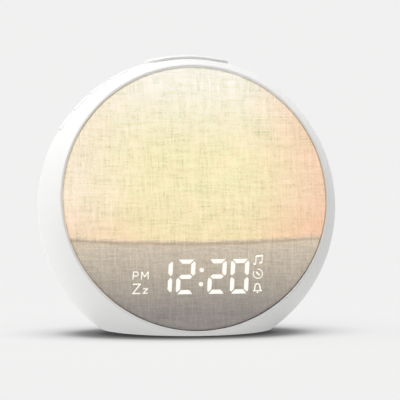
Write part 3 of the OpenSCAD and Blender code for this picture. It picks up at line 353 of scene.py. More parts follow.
shell_white = plastic("shell_white", (243, 243, 242), grain_size=0.35, roughness=0.42, drift=0.015)
key_white = plastic("key_white", (244, 244, 243), grain_size=0.30, roughness=0.38, drift=0.015)
cover_white = plastic("cover_white", (241, 241, 240), grain_size=0.45, roughness=0.46, drift=0.02)
grille_white = plastic("grille_white", (232, 232, 230), grain_size=0.25, roughness=0.44, drift=0.02)
natural_white = plastic("natural_white", (236, 234, 228), grain_size=0.6, roughness=0.5)
reflector_white = plastic("reflector_white", (246, 246, 243), grain_size=0.4, roughness=0.55)
tray_black = plastic("tray_black", (34, 34, 35), grain_size=0.5, roughness=0.6)
jack_black = plastic("jack_black", (24, 24, 25), grain_size=0.25, roughness=0.38)
switch_grey = plastic("switch_grey", (58, 58, 60), grain_size=0.2, roughness=0.45)
stem_black = plastic("stem_black", (22, 22, 22), grain_size=0.2, roughness=0.4)
chip_black = plastic("chip_black", (30, 30, 31), grain_size=0.15, roughness=0.62)
housing_cream = plastic("housing_cream", (232, 226, 208), grain_size=0.3, roughness=0.48)
display_black = plastic("display_black", (16, 16, 17), grain_size=0.4, roughness=0.25, coat=0.3)
foot_rubber = plastic("foot_rubber", (70, 70, 72), grain_size=0.5, roughness=0.85, drift=0.10, depth=0.05)
surround_rubber = plastic("surround_rubber", (26, 26, 27), grain_size=0.3, roughness=0.7)
gasket_foam = plastic("gasket_foam", (30, 30, 32), grain_size=0.9, roughness=0.95, drift=0.2, depth=0.2)
cone_pulp = plastic("cone_pulp", (44, 44, 47), grain_size=0.8, roughness=0.9, drift=0.2, depth=0.1)
print(skin.users, "moulded finishes")

# %% [markdown]
# ## Metal, board and wire
# Screws and the cell are plated steel that was turned or rolled, so their scratches run one way. The
# same noise, stretched along one axis, gives that. A circuit board is green lacquer over copper, and
# the copper shows as paler patches in staggered rows, with darker lanes that stand a little proud.

# %% Node group: drawn grain, and the metals
NOISE_SPAN = (0.3, 0.7)
SCRATCH_SCALE = 6000.0
SCRATCH_GLOSS = 0.25
STAIN_SCALE = 180.0
STAIN_VALUES = (0.86, 1.04)
LEAST_ROUGH = 0.05
METAL_BUMP = 0.25
METAL_DEPTH = 0.01

drawn, taken, given = group_tree("drawn_grain", "ShaderNodeTree", [
    ("Vector", "NodeSocketVector", None),
    ("Colour", "NodeSocketColor", (0.5, 0.5, 0.5, 1)),
    ("Roughness", "NodeSocketFloat", 0.3),
    ("Stretch", "NodeSocketVector", (1.0, 1.0, 0.05))], [
    ("Colour", "NodeSocketColor"),
    ("Roughness", "NodeSocketFloat"),
    ("Height", "NodeSocketFloat")])
pulled = add(drawn, "ShaderNodeVectorMath", {0: taken["Vector"], 1: taken["Stretch"]}, operation="MULTIPLY")
scratch = add(drawn, "ShaderNodeTexNoise", {"Vector": pulled.outputs[0], "Scale": SCRATCH_SCALE,
              "Detail": 3.0})
stain = add(drawn, "ShaderNodeTexNoise", {"Vector": taken["Vector"], "Scale": STAIN_SCALE, "Detail": 3.0})
value = fade(drawn, stain.outputs[0], *NOISE_SPAN, *STAIN_VALUES)
tone = add(drawn, "ShaderNodeHueSaturation", {"Color": taken["Colour"], "Value": value})
rough = calc(drawn, "MULTIPLY_ADD", calc(drawn, "SUBTRACT", scratch.outputs[0], 0.5), SCRATCH_GLOSS,
             taken["Roughness"])
drawn.links.new(tone.outputs[0], given["Colour"])
drawn.links.new(calc(drawn, "MAXIMUM", rough, LEAST_ROUGH), given["Roughness"])
drawn.links.new(scratch.outputs[0], given["Height"])


def metal(name, colour, roughness, stretch, metallic=1.0):
    """Plated or painted metal of a screen colour, with its scratches drawn out along one axis."""
    material, tree, shader, place = new_material(name)
    made = add(tree, "ShaderNodeGroup", {"Vector": place, "Colour": linear(colour), "Roughness": roughness,
               "Stretch": stretch}, node_tree=drawn)
    feed_shader(tree, shader, made, METAL_BUMP, METAL_DEPTH)
    shader.inputs["Metallic"].default_value = metallic
    return material


zinc_steel = metal("zinc_steel", (196, 196, 192), 0.30, (0.2, 1.0, 1.0))
plated_cell = metal("plated_cell", (206, 206, 204), 0.24, (0.05, 1.0, 1.0))
gilt_contact = metal("gilt_contact", (214, 178, 104), 0.28, (1.0, 0.1, 1.0))
magnet_grey = metal("magnet_grey", (104, 104, 108), 0.45, (1.0, 0.3, 1.0))
basket_black = metal("basket_black", (38, 38, 40), 0.5, (1.0, 1.0, 1.0), metallic=0.0)
coil_copper = metal("coil_copper", (188, 112, 64), 0.35, (0.1, 6.0, 0.1))
can_blue = metal("can_blue", (40, 44, 96), 0.42, (1.0, 1.0, 0.3), metallic=0.0)
print(drawn.users, "metals")

# %% Circuit board and lead finishes
BOARD_PITCH = 1.27
LANE_WIDTH = 0.12
LANE_SHADE = 0.8
LANE_DEPTH = 0.03
COPPER_BIAS = -0.55
LACQUER_SCALE = 400.0
LACQUER_GLOSS = (0.28, 0.42)


def board(name, lacquer, copper, turn_x=0.0):
    """Lacquered circuit board with paler patches of copper; turn_x leans their rows with the face."""
    material, tree, shader, place = new_material(name)
    laid = add(tree, "ShaderNodeMapping", {"Vector": place, "Rotation": (turn_x, 0, 0),
               "Scale": (1 / (BOARD_PITCH * MM),) * 3})
    cells = add(tree, "ShaderNodeTexBrick", {"Vector": laid.outputs[0], "Color1": linear(lacquer),
                "Color2": linear(copper), "Mortar": linear(tuple(LANE_SHADE * c for c in lacquer)),
                "Scale": 1.0, "Mortar Size": LANE_WIDTH, "Bias": COPPER_BIAS}, offset=0.5)
    cloud = add(tree, "ShaderNodeTexNoise", {"Vector": place, "Scale": LACQUER_SCALE})
    tree.links.new(cells.outputs["Color"], shader.inputs["Base Color"])
    tree.links.new(fade(tree, cloud.outputs[0], *NOISE_SPAN, *LACQUER_GLOSS), shader.inputs["Roughness"])
    bump = add(tree, "ShaderNodeBump", {"Height": cells.outputs["Fac"], "Strength": 0.4,
               "Distance": LANE_DEPTH * MM})
    tree.links.new(bump.outputs[0], shader.inputs["Normal"])
    return material


def insulation(name, colour):
    """Soft insulation of a lead, dull and a little uneven in tone."""
    return plastic(name, colour, grain_size=0.5, roughness=0.5, drift=0.08, depth=0.03)


FACE_TURN = FACE_TILT - math.pi / 2
face_green = board("face_green", (22, 84, 46), (44, 118, 66), FACE_TURN)
flat_green = board("flat_green", (24, 88, 48), (46, 120, 70))
lamp_board = board("lamp_board", (232, 232, 228), (222, 222, 214), FACE_TURN)
wire_red = insulation("wire_red", (176, 40, 34))
wire_grey = insulation("wire_grey", (190, 190, 188))
print("boards and wires done")

# %% [markdown]
# ## Things that glow
# The lamps and the display segments shine. An emitting surface is still a surface: the lamp has a
# yellow phosphor dome under its light, and a segment is clear plastic filled with a milky scatter. The
# frosted diffuser panel is no lamp: its faint glow is painted light that stands for the lamps behind it.

# %% Glowing finishes
MILK_SCALE = 700.0
MILK_SHARE = 0.25


def glowing(name, colour, glow, strength, roughness=0.3):
    """A body colour with light of its own on top, uneven like cast resin."""
    material, tree, shader, place = new_material(name)
    milk = add(tree, "ShaderNodeTexNoise", {"Vector": place, "Scale": MILK_SCALE, "Detail": 2.0})
    share = fade(tree, milk.outputs[0], *NOISE_SPAN, 0.0, MILK_SHARE)
    tree.links.new(blend_colours(tree, share, linear(colour), linear(glow)), shader.inputs["Base Color"])
    tree.links.new(blend_colours(tree, share, linear(glow), linear(colour)), shader.inputs["Emission Color"])
    shader.inputs["Emission Strength"].default_value = strength
    shader.inputs["Roughness"].default_value = roughness
    return material


lamp_phosphor = glowing("lamp_phosphor", (250, 220, 130), (255, 226, 150), 1.5)
segment_milk = glowing("segment_milk", (240, 236, 226), (255, 250, 240), 1.0)
# Painted light: the diffuser panel glows by itself, standing for the lamps that shine through it.
lit_diffuser = glowing("lit_diffuser", (244, 240, 228), (255, 236, 200), 0.25, roughness=0.6)
print("glowing finishes done")

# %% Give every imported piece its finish
FINISHES = {
    shell_white: ["front_housing", "rear_cover"],
    cover_white: ["battery_cover"],
    key_white: ["snooze_button", "side_button_1", "side_button_2", "side_button_3", "side_button_4"],
    grille_white: ["speaker_grille"],
    natural_white: ["face_hoop", "snooze_bracket", "fabric_face"],
    reflector_white: ["light_box"],
    lit_diffuser: ["diffuser_panel"],
    lamp_board: ["led_board"],
    lamp_phosphor: ["leds"],
    tray_black: ["display_tray"],
    face_green: ["display_board", "main_board"],
    flat_green: ["snooze_board", "side_switch_board", "inlet_board"],
    display_black: ["display_body"],
    segment_milk: ["display_segments"],
    chip_black: ["main_chips"],
    can_blue: ["capacitors"],
    housing_cream: ["board_connectors"],
    zinc_steel: ["display_pins", "main_board_screws", "speaker_screws", "dc_pin", "housing_screws",
                 "face_screws", "bracket_screws", "inlet_screws"],
    switch_grey: ["snooze_switch", "side_switches"],
    stem_black: ["snooze_plunger", "side_plunger_1", "side_plunger_2", "side_plunger_3", "side_plunger_4"],
    basket_black: ["speaker_frame"],
    magnet_grey: ["speaker_magnet"],
    cone_pulp: ["speaker_cone"],
    surround_rubber: ["speaker_surround"],
    coil_copper: ["voice_coil"],
    gasket_foam: ["speaker_gasket"],
    jack_black: ["dc_jack", "battery_holder"],
    gilt_contact: ["battery_contacts"],
    plated_cell: ["coin_cell"],
    foot_rubber: ["rubber_feet"],
    wire_red: ["speaker_lead", "power_lead", "battery_lead"],
    wire_grey: ["display_lead", "button_leads", "led_lead"],
}
for finish, names in FINISHES.items():
    for name in names:
        nodes[name].data.materials.clear()
        nodes[name].data.materials.append(finish)
bare = sorted(set(nodes) - {name for names in FINISHES.values() for name in names})
print(len(FINISHES), "finishes; pieces without one:", bare)

# %% [markdown]
# ## Linen
# The face is a disc of linen pulled over a hoop, its edge turned back over the rim. Linen yarn is
# uneven: thick places, called slubs, run along single threads, and each thread has its own tone. The
# cloth is a Geometry Nodes piece, because its shape is a rule: a square sheet is wrapped over the
# disc's profile ring by ring, so it has no pole in the middle, and slubs lift it by a few hundredths of a
# millimetre. The finer threads are left to the material.

# %% Geometry Nodes: the linen disc
LINEN_EDGE = 0.5
LINEN_SKIRT = 5.1
LINEN_CELLS = 160
LINEN_THICK = 0.5
SLUB = 0.05
SLUB_ALONG = 60.0
SLUB_ACROSS = 900.0
SLUB_RISE = (0.55, 0.8)


def geometry_tree(name, inputs):
    """A Geometry Nodes tree with named inputs and one geometry output."""
    return group_tree(name, "GeometryNodeTree", inputs, [("Geometry", "NodeSocketGeometry")])


def close_tree(tree, geometry, leave, material):
    """Realizes the instances, sets the material and ends the tree."""
    solid = add(tree, "GeometryNodeRealizeInstances", {"Geometry": geometry})
    painted = add(tree, "GeometryNodeSetMaterial", {"Geometry": solid.outputs[0]})
    painted.inputs["Material"].default_value = material
    tree.links.new(painted.outputs[0], leave["Geometry"])


def vector(tree, x=0.0, y=0.0, z=0.0):
    """A place or direction from three numbers or sockets."""
    return add(tree, "ShaderNodeCombineXYZ", {0: x, 1: y, 2: z}).outputs[0]


def grow_piece(name, tree, values, place):
    """Runs a Geometry Nodes tree with its inputs set by socket identifier, and keeps a plain mesh."""
    start = put_in_scene(name + "_grower", bpy.data.meshes.new(name + "_grower"))
    modifier = start.modifiers.new("grow", "NODES")
    modifier.node_group = tree
    for socket in tree.interface.items_tree:
        if socket.in_out == "INPUT" and socket.name in values:
            modifier[socket.identifier] = values[socket.name]
    bpy.context.view_layer.update()
    ready = start.evaluated_get(bpy.context.evaluated_depsgraph_get())
    mesh = bpy.data.meshes.new_from_object(ready)
    start.modifiers.clear()
    bpy.data.objects.remove(start)
    mesh.name = name
    mesh.transform(place)
    return put_in_scene(name, mesh)


cloth, taken, leave = geometry_tree("linen_disc", [
    ("Radius", "NodeSocketFloat", LINEN_RADIUS * MM),
    ("Edge Radius", "NodeSocketFloat", LINEN_EDGE * MM),
    ("Skirt", "NodeSocketFloat", LINEN_SKIRT * MM),
    ("Cells", "NodeSocketInt", LINEN_CELLS),
    ("Slub Height", "NodeSocketFloat", SLUB * MM)])
count = calc(cloth, "ADD", taken["Cells"], 1.0)
grid = add(cloth, "GeometryNodeMeshGrid", {"Size X": 2.0, "Size Y": 2.0, "Vertices X": count,
           "Vertices Y": count})
spot = add(cloth, "GeometryNodeInputPosition").outputs[0]
across = add(cloth, "ShaderNodeSeparateXYZ", {0: spot}).outputs
ring = calc(cloth, "MAXIMUM", calc(cloth, "ABSOLUTE", across[0]), calc(cloth, "ABSOLUTE", across[1]))
heading = add(cloth, "ShaderNodeVectorMath", {0: spot}, operation="NORMALIZE").outputs[0]
flat_part = calc(cloth, "SUBTRACT", taken["Radius"], taken["Edge Radius"])
arc_part = calc(cloth, "MULTIPLY", taken["Edge Radius"], math.pi / 2)
whole = calc(cloth, "ADD", calc(cloth, "ADD", flat_part, arc_part), taken["Skirt"])
along = calc(cloth, "MULTIPLY", ring, whole)
past_flat = calc(cloth, "MAXIMUM", calc(cloth, "SUBTRACT", along, flat_part), 0.0)
turned = calc(cloth, "MINIMUM", calc(cloth, "DIVIDE", past_flat, taken["Edge Radius"]), math.pi / 2)
hanging = calc(cloth, "MAXIMUM", calc(cloth, "SUBTRACT", past_flat, arc_part), 0.0)
reach = calc(cloth, "ADD", calc(cloth, "MINIMUM", along, flat_part),
             calc(cloth, "MULTIPLY", calc(cloth, "SINE", turned), taken["Edge Radius"]))
drop = calc(cloth, "ADD", hanging, calc(cloth, "MULTIPLY", taken["Edge Radius"],
            calc(cloth, "SUBTRACT", 1.0, calc(cloth, "COSINE", turned))))
outward = add(cloth, "ShaderNodeVectorMath", {0: heading, "Scale": reach}, operation="SCALE").outputs[0]
slubs = []
for stretch in ((SLUB_ALONG, SLUB_ACROSS, 1.0), (SLUB_ACROSS, SLUB_ALONG, 1.0)):
    pulled = add(cloth, "ShaderNodeVectorMath", {0: outward, 1: stretch}, operation="MULTIPLY")
    patches = add(cloth, "ShaderNodeTexNoise", {"Vector": pulled.outputs[0], "Scale": 1.0, "Detail": 1.0})
    slubs.append(patches.outputs[0])
slub = calc(cloth, "MULTIPLY", fade(cloth, calc(cloth, "MAXIMUM", *slubs), *SLUB_RISE), taken["Slub Height"])
depth = calc(cloth, "SUBTRACT", slub, drop)
lifted = add(cloth, "ShaderNodeVectorMath", {0: outward, 1: vector(cloth, z=depth)}, operation="ADD")
wrapped = add(cloth, "GeometryNodeSetPosition", {"Geometry": grid.outputs["Mesh"],
              "Position": lifted.outputs[0]})
smooth = add(cloth, "GeometryNodeSetShadeSmooth", {"Geometry": wrapped.outputs[0]})
print("linen_disc tree:", len(cloth.nodes), "nodes")

# %% [markdown]
# The cloth's material has two jobs. It is undyed linen, a warm grey with a thread pattern, and it is a
# lampshade. The glow is painted light, an emission of the cloth itself that stands for the light box
# behind its upper part: yellow in the middle and peach at the edges, down to a straight wall that draws a
# soft horizon, with a thin band of painted shade just under it. The threads let less light through where
# they are thick, so the same weave that tints the cloth also dims the glow, and the turned edge, which
# the panel doesn't light from behind, glows about two thirds as much. Where light comes through, a thread
# also shifts its hue a little, so its tone has a share of its own in red, green and blue; the unlit
# cloth is neutral. Every fade is written in millimetres on the face.

# %% Node group: plain weave
THREAD_PITCH = 0.88
THREAD_STREAK = 0.46
CROSSING = 0.13
WANDER_SCALE = 0.05
WANDER_REACH = 1.2
NEIGHBOUR_STEP = 7.31
ALONG_SCALE = 0.06
SLUB_THREADS = (0.62, 0.80)
TOP_HEIGHT = 0.6
TONE_HEIGHT = 0.8

weave, taken, given = group_tree("plain_weave", "ShaderNodeTree", [
    ("Place", "NodeSocketVector", None),
    ("Pitch", "NodeSocketFloat", THREAD_PITCH),
    ("Streak", "NodeSocketFloat", THREAD_STREAK),
    ("Crossing", "NodeSocketFloat", CROSSING)], [
    ("Cover", "NodeSocketFloat"),
    ("Tone", "NodeSocketFloat"),
    ("Slub", "NodeSocketFloat"),
    ("Height", "NodeSocketFloat")])
wander = add(weave, "ShaderNodeTexNoise", {"Vector": taken["Place"], "Scale": WANDER_SCALE, "Detail": 2.0})
sway = add(weave, "ShaderNodeVectorMath", {0: wander.outputs["Color"], 1: (0.5, 0.5, 0.5)},
           operation="SUBTRACT")
bent = add(weave, "ShaderNodeVectorMath", {0: sway.outputs[0], 1: (WANDER_REACH, WANDER_REACH, 0.0),
           2: taken["Place"]}, operation="MULTIPLY_ADD")
sides = add(weave, "ShaderNodeSeparateXYZ", {0: bent.outputs[0]}).outputs
warp_at = calc(weave, "DIVIDE", sides[0], taken["Pitch"])
weft_at = calc(weave, "DIVIDE", sides[1], taken["Pitch"])


def thread_round(tree, at):
    """The rounded top of the thread that a place lies on: 1 along its middle and 0 between two threads."""
    return calc(tree, "ABSOLUTE", calc(tree, "SINE", calc(tree, "MULTIPLY", at, math.pi)))


def thread_noise(tree, across, along):
    """A tone of its own for each thread, which changes slowly along it."""
    number = calc(tree, "FLOOR", across)
    spot = vector(tree, calc(tree, "MULTIPLY", number, NEIGHBOUR_STEP),
                  calc(tree, "MULTIPLY", along, ALONG_SCALE))
    return add(tree, "ShaderNodeTexNoise", {"Vector": spot, "Scale": 1.0, "Detail": 2.0}).outputs[0]


warp_top = thread_round(weave, warp_at)
weft_top = thread_round(weave, weft_at)
parity = calc(weave, "ADD", calc(weave, "FLOOR", warp_at), calc(weave, "FLOOR", weft_at))
over = calc(weave, "GREATER_THAN", calc(weave, "FLOORED_MODULO", parity, 2.0), 0.5)
warp_tone = thread_noise(weave, warp_at, weft_at)
weft_tone = thread_noise(weave, weft_at, warp_at)
knot = add(weave, "ShaderNodeTexWhiteNoise", {"Vector": vector(weave, calc(weave, "FLOOR", warp_at),
           calc(weave, "FLOOR", weft_at))}, noise_dimensions="2D").outputs["Value"]
top = add(weave, "ShaderNodeMix", {0: over, 2: weft_top, 3: warp_top}, data_type="FLOAT").outputs[0]
mean_tone = calc(weave, "MULTIPLY", calc(weave, "ADD", warp_tone, weft_tone), 0.5)
weave.links.new(calc(weave, "MULTIPLY", warp_top, weft_top), given["Cover"])
streaks = calc(weave, "MULTIPLY_ADD", calc(weave, "SUBTRACT", mean_tone, 0.5),
               calc(weave, "MULTIPLY", taken["Streak"], 2.0), 1.0)
weave.links.new(calc(weave, "MULTIPLY_ADD", calc(weave, "SUBTRACT", knot, 0.5), taken["Crossing"], streaks),
                given["Tone"])
weave.links.new(fade(weave, weft_tone, *SLUB_THREADS), given["Slub"])
weave.links.new(calc(weave, "MULTIPLY_ADD", top, TOP_HEIGHT, calc(weave, "MULTIPLY", mean_tone, TONE_HEIGHT)),
                given["Height"])
print("plain_weave:", len(weave.nodes), "nodes")

# %% Linen that is lit from behind
LINEN_BASE = (0.443, 0.403, 0.378, 1)
DAWN_MIDDLE = (0.62, 0.56, 0.27, 1)
DAWN_TOP = (0.66, 0.645, 0.56, 1)
DAWN_LEFT = (0.64, 0.545, 0.385, 1)
DAWN_RIGHT = (0.62, 0.375, 0.215, 1)
DAWN_LOW = (0.99, 0.88, 0.78, 1)
DAWN_CORNERS = (1.0, 0.93, 0.93, 1)
YELLOW_TINT = (1.0, 1.05, 1.09, 1)
PEACH_TINT = (1.0, 0.95, 0.91, 1)
SLUB_TINT = (0.88, 0.86, 0.77, 1)
TONE_SHARES = (1.26, 0.82, 1.35)
EDGE_GLOW = 0.65
EDGE_DEPTH = (0.8, 0.2)
SPILL = (0.36, 0.296, 0.194, 1)
HORIZON = -25.05
HORIZON_BOW = 1 / 1900
HORIZON_WANDER = 1.4
SPILL_END = -66.7
# Painted shade in the glow: the colour that dims a thin line just under the horizon.
HORIZON_SHADE = (0.74, 0.57, 0.36, 1)
NO_LIGHT = (0, 0, 0, 1)
TOP_FADE = (20.0, 84.0)
LEFT_FADE = (-20.0, -84.0)
RIGHT_FADE = (22.0, 84.0)
LOW_FADE = (14.0, -30.0)
CORNER_FADES = ((15.0, 55.0), (5.0, -22.0))
HORIZON_FADE = (-1.2, 1.7)
HORIZON_SHADE_FADES = ((-3.0, -1.6), (-1.2, 0.2))
WAVE_SCALE = 0.09
PATCH_SCALE = 0.12

linen, tree, shader, place = new_material("linen")
laid = add(tree, "ShaderNodeMapping", {"Vector": place, "Location": BALL, "Scale": (MM, MM, MM),
           "Rotation": (math.pi / 2 - FACE_TILT, 0, 0)}, vector_type="TEXTURE")
spot = add(tree, "ShaderNodeSeparateXYZ", {0: laid.outputs[0]}).outputs
threads = add(tree, "ShaderNodeGroup", {"Place": laid.outputs[0]}, node_tree=weave)

bow = calc(tree, "MULTIPLY", calc(tree, "MULTIPLY", spot[0], spot[0]), HORIZON_BOW)
wave = add(tree, "ShaderNodeTexNoise", {"Vector": vector(tree, spot[0]), "Scale": WAVE_SCALE, "Detail": 2.0})
sway = calc(tree, "MULTIPLY_ADD", calc(tree, "SUBTRACT", wave.outputs[0], 0.5), HORIZON_WANDER, bow)
height = calc(tree, "SUBTRACT", calc(tree, "SUBTRACT", spot[1], HORIZON), sway)
lit_share = fade(tree, height, *HORIZON_FADE)
# Painted shade: the glow is dimmed along a thin wavy line just under the horizon.
horizon_shade_share = calc(tree, "MULTIPLY", fade(tree, height, *HORIZON_SHADE_FADES[0]),
                  fade(tree, height, *HORIZON_SHADE_FADES[1], 1.0, 0.0))
dawn = blend_colours(tree, fade(tree, spot[1], *TOP_FADE), DAWN_MIDDLE, DAWN_TOP)
dawn = blend_colours(tree, fade(tree, spot[0], *LEFT_FADE), dawn, DAWN_LEFT)
dawn = blend_colours(tree, fade(tree, spot[0], *RIGHT_FADE), dawn, DAWN_RIGHT)
dawn = blend_colours(tree, fade(tree, spot[1], *LOW_FADE), dawn, DAWN_LOW, "MULTIPLY")
corner = calc(tree, "MULTIPLY", fade(tree, calc(tree, "ABSOLUTE", spot[0]), *CORNER_FADES[0]),
              fade(tree, spot[1], *CORNER_FADES[1]))
dawn = blend_colours(tree, corner, dawn, DAWN_CORNERS, "MULTIPLY")
patches = add(tree, "ShaderNodeTexNoise", {"Vector": laid.outputs[0], "Scale": PATCH_SCALE, "Detail": 2.0})
tint = blend_colours(tree, patches.outputs[0], YELLOW_TINT, PEACH_TINT)
dawn = blend_colours(tree, 1.0, dawn, tint, "MULTIPLY")
dawn = blend_colours(tree, threads.outputs["Slub"], dawn, SLUB_TINT, "MULTIPLY")
spill_share = add(tree, "ShaderNodeMapRange", {"Value": spot[1], "From Min": SPILL_END, "From Max": HORIZON})
spill = blend_colours(tree, spill_share.outputs["Result"], NO_LIGHT, SPILL)
spill = blend_colours(tree, horizon_shade_share, spill, HORIZON_SHADE, "MULTIPLY")
glow = blend_colours(tree, lit_share, spill, dawn)
tone = threads.outputs["Tone"]
grey_tone = add(tree, "ShaderNodeCombineColor", {0: tone, 1: tone, 2: tone})
swing = calc(tree, "SUBTRACT", tone, 1.0)
red, green, blue = (calc(tree, "MULTIPLY_ADD", swing, share, 1.0) for share in TONE_SHARES)
lit_tone = add(tree, "ShaderNodeCombineColor", {0: red, 1: green, 2: blue})
thread_tone = blend_colours(tree, lit_share, grey_tone.outputs[0], lit_tone.outputs[0])
glow = blend_colours(tree, 1.0, glow, thread_tone, "MULTIPLY")
edge_back, edge_front = (LINEN_FRONT - depth for depth in EDGE_DEPTH)
panel_light = fade(tree, spot[2], edge_back, edge_front, EDGE_GLOW, 1.0)
glow = blend_colours(tree, panel_light, NO_LIGHT, glow)
# The glow is painted light: the cloth emits it itself, standing for the light box behind it.
tree.links.new(glow, shader.inputs["Emission Color"])
shader.inputs["Emission Strength"].default_value = 1.0
print("glow of the linen:", len(tree.nodes), "nodes")

# %% The yarn of the linen
SLUB_YARN = (0.40, 0.33, 0.26, 1)
SLUB_SHARE = 0.35
GAP_SHADE = (0.22, 0.19, 0.16, 1)
GAP_SHARE = 0.28
GAP_COVER = 0.5
YARN_GLOSS = (0.95, 0.82)
YARN_DEPTH = 0.12

cover = threads.outputs["Cover"]
yarn = blend_colours(tree, 1.0, LINEN_BASE, thread_tone, "MULTIPLY")
yarn = blend_colours(tree, calc(tree, "MULTIPLY", threads.outputs["Slub"], SLUB_SHARE), yarn, SLUB_YARN)
yarn = blend_colours(tree, fade(tree, cover, 0.0, GAP_COVER, GAP_SHARE, 0.0), yarn, GAP_SHADE)
tree.links.new(yarn, shader.inputs["Base Color"])
tree.links.new(fade(tree, cover, 0.0, 1.0, *YARN_GLOSS), shader.inputs["Roughness"])
bump = add(tree, "ShaderNodeBump", {"Height": threads.outputs["Height"], "Strength": 0.5,
           "Distance": YARN_DEPTH * MM})
tree.links.new(bump.outputs[0], shader.inputs["Normal"])
shader.inputs["Sheen Weight"].default_value = 0.08
shader.inputs["Sheen Roughness"].default_value = 0.6
print("linen:", len(tree.nodes), "nodes")

# %% Pull the linen over its hoop
close_tree(cloth, smooth.outputs[0], leave, linen)
FACE_PLACE = Matrix((FACE_RIGHT, FACE_UP, FACE_OUT)).transposed().to_4x4()
FACE_PLACE.translation = on_face(0, 0, LINEN_FRONT - SLUB)
linen_disc = grow_piece("linen_disc", cloth, {"Radius": LINEN_RADIUS * MM, "Edge Radius": LINEN_EDGE * MM,
                        "Skirt": LINEN_SKIRT * MM, "Cells": LINEN_CELLS, "Slub Height": SLUB * MM},
                        FACE_PLACE)
shell = linen_disc.modifiers.new("thickness", "SOLIDIFY")
shell.thickness = LINEN_THICK * MM
shell.offset = -1
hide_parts("fabric_face")
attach(linen_disc, "clock")
print("linen_disc:", len(linen_disc.data.polygons), "faces")

# %% [markdown]
# ## The time behind the cloth
# The display is a bar of light-pipes that shines through the threads. What the eye sees is the segments
# on the cloth itself, so they are thin plates laid on the linen, not a picture. A digit has seven bars.
# The upright ones end in a blunt point, the top and bottom ones are trapezoids that fit between those
# points, and the whole row leans to the right. Where the middle bar is dark, a wide gap shows. The light
# spreads a little in the cloth, which rounds the corners.

# %% Bars, dots and icons on the face
GLYPH_THICK = 0.10
DIGIT_TALL = 20.0
DIGIT_WIDE = 10.65
BAR = 2.4
BAR_CORNER = 0.3
DIGIT_LEAN = math.radians(4.4)
DIGIT_BOTTOM = -55.4

# The plates glow with painted light that stands for the segments shining through the cloth.
glyph_glow = glowing("glyph_glow", (252, 248, 240), (255, 253, 246), 0.4, roughness=0.5)
plates = bmesh.new()


def plate(outline):
    """Lays a flat outline, in millimetres on the face, on the linen as a thin plate."""
    front = [plates.verts.new(on_face(x, y, LINEN_FRONT + GLYPH_THICK)) for x, y in outline]
    back = [plates.verts.new(on_face(x, y, LINEN_FRONT - SLUB)) for x, y in outline]
    plates.faces.new(front)
    plates.faces.new(back[::-1])
    for i, corner in enumerate(front):
        after = (i + 1) % len(front)
        plates.faces.new((front[i], back[i], back[after], front[after]))


def disc(x, y, radius, sides=24):
    """A round dot."""
    turns = [2 * math.pi * i / sides for i in range(sides)]
    plate([(x + radius * math.cos(a), y + radius * math.sin(a)) for a in turns])


def stroke(start, end, width):
    """A straight bar with square ends, from one point to another."""
    along = Vector(end) - Vector(start)
    side = Vector((-along.y, along.x)).normalized() * width / 2
    a, b = Vector(start), Vector(end)
    plate([tuple(a + side), tuple(a - side), tuple(b - side), tuple(b + side)])


def arc(x, y, radius, width, start, end, steps=20):
    """A bar bent round a centre, with angles in degrees."""
    turns = [math.radians(start + (end - start) * i / steps) for i in range(steps + 1)]
    outer = [(x + (radius + width / 2) * math.cos(a), y + (radius + width / 2) * math.sin(a)) for a in turns]
    inner = [(x + (radius - width / 2) * math.cos(a), y + (radius - width / 2) * math.sin(a)) for a in turns]
    plate(outer + inner[::-1])


def lean(x, y):
    """Leans a point of a digit to the right, from the digits' bottom line."""
    return x + (y - DIGIT_BOTTOM) * math.tan(DIGIT_LEAN), y


def rounded(outline, radius):
    """Cuts each corner of an outline with a short curve."""
    points = [Vector(p) for p in outline]
    made = []
    for i, corner in enumerate(points):
        before = (points[i - 1] - corner).normalized() * radius
        after = (points[(i + 1) % len(points)] - corner).normalized() * radius
        for t in (0.0, 0.33, 0.67, 1.0):
            made.append(corner + before * (1 - t) ** 2 + after * t ** 2)
    return made


def turned(outline):
    """The same outline after half a turn of the digit, which swaps its upper and lower bars."""
    return [(DIGIT_WIDE - x, DIGIT_TALL - y) for x, y in outline]


MIDDLE = DIGIT_TALL / 2
END_IN = 0.9
INNER_IN = 3.0
TIP_IN = 1.5
NECK_IN = 2.7
TOP_BAR = [(END_IN, DIGIT_TALL), (DIGIT_WIDE - END_IN, DIGIT_TALL),
           (DIGIT_WIDE - INNER_IN, DIGIT_TALL - BAR), (INNER_IN, DIGIT_TALL - BAR)]
UPPER_RIGHT = [(DIGIT_WIDE, DIGIT_TALL - 2.0), (DIGIT_WIDE, MIDDLE + 1.5),
               (DIGIT_WIDE - END_IN, MIDDLE + 0.55), (DIGIT_WIDE - BAR, MIDDLE + 2.0),
               (DIGIT_WIDE - BAR, DIGIT_TALL - 2.8), (DIGIT_WIDE - END_IN + 0.2, DIGIT_TALL - 1.1)]
LOWER_RIGHT = [(x, DIGIT_TALL - y) for x, y in UPPER_RIGHT]
MIDDLE_BAR = [(TIP_IN, MIDDLE), (NECK_IN, MIDDLE + BAR / 2), (DIGIT_WIDE - NECK_IN, MIDDLE + BAR / 2),
              (DIGIT_WIDE - TIP_IN, MIDDLE), (DIGIT_WIDE - NECK_IN, MIDDLE - BAR / 2),
              (NECK_IN, MIDDLE - BAR / 2)]
BARS = {"a": TOP_BAR, "b": UPPER_RIGHT, "c": LOWER_RIGHT, "d": turned(TOP_BAR), "e": turned(UPPER_RIGHT),
        "f": turned(LOWER_RIGHT), "g": MIDDLE_BAR}
LIT_BARS = {"0": "abcdef", "1": "bc", "2": "abged"}


def digit(character, right):
    """Lights the bars of one digit, whose bottom right corner is at right."""
    for letter in LIT_BARS[character]:
        spots = [lean(right - DIGIT_WIDE + x, DIGIT_BOTTOM + y) for x, y in BARS[letter]]
        plate(rounded(spots, BAR_CORNER))


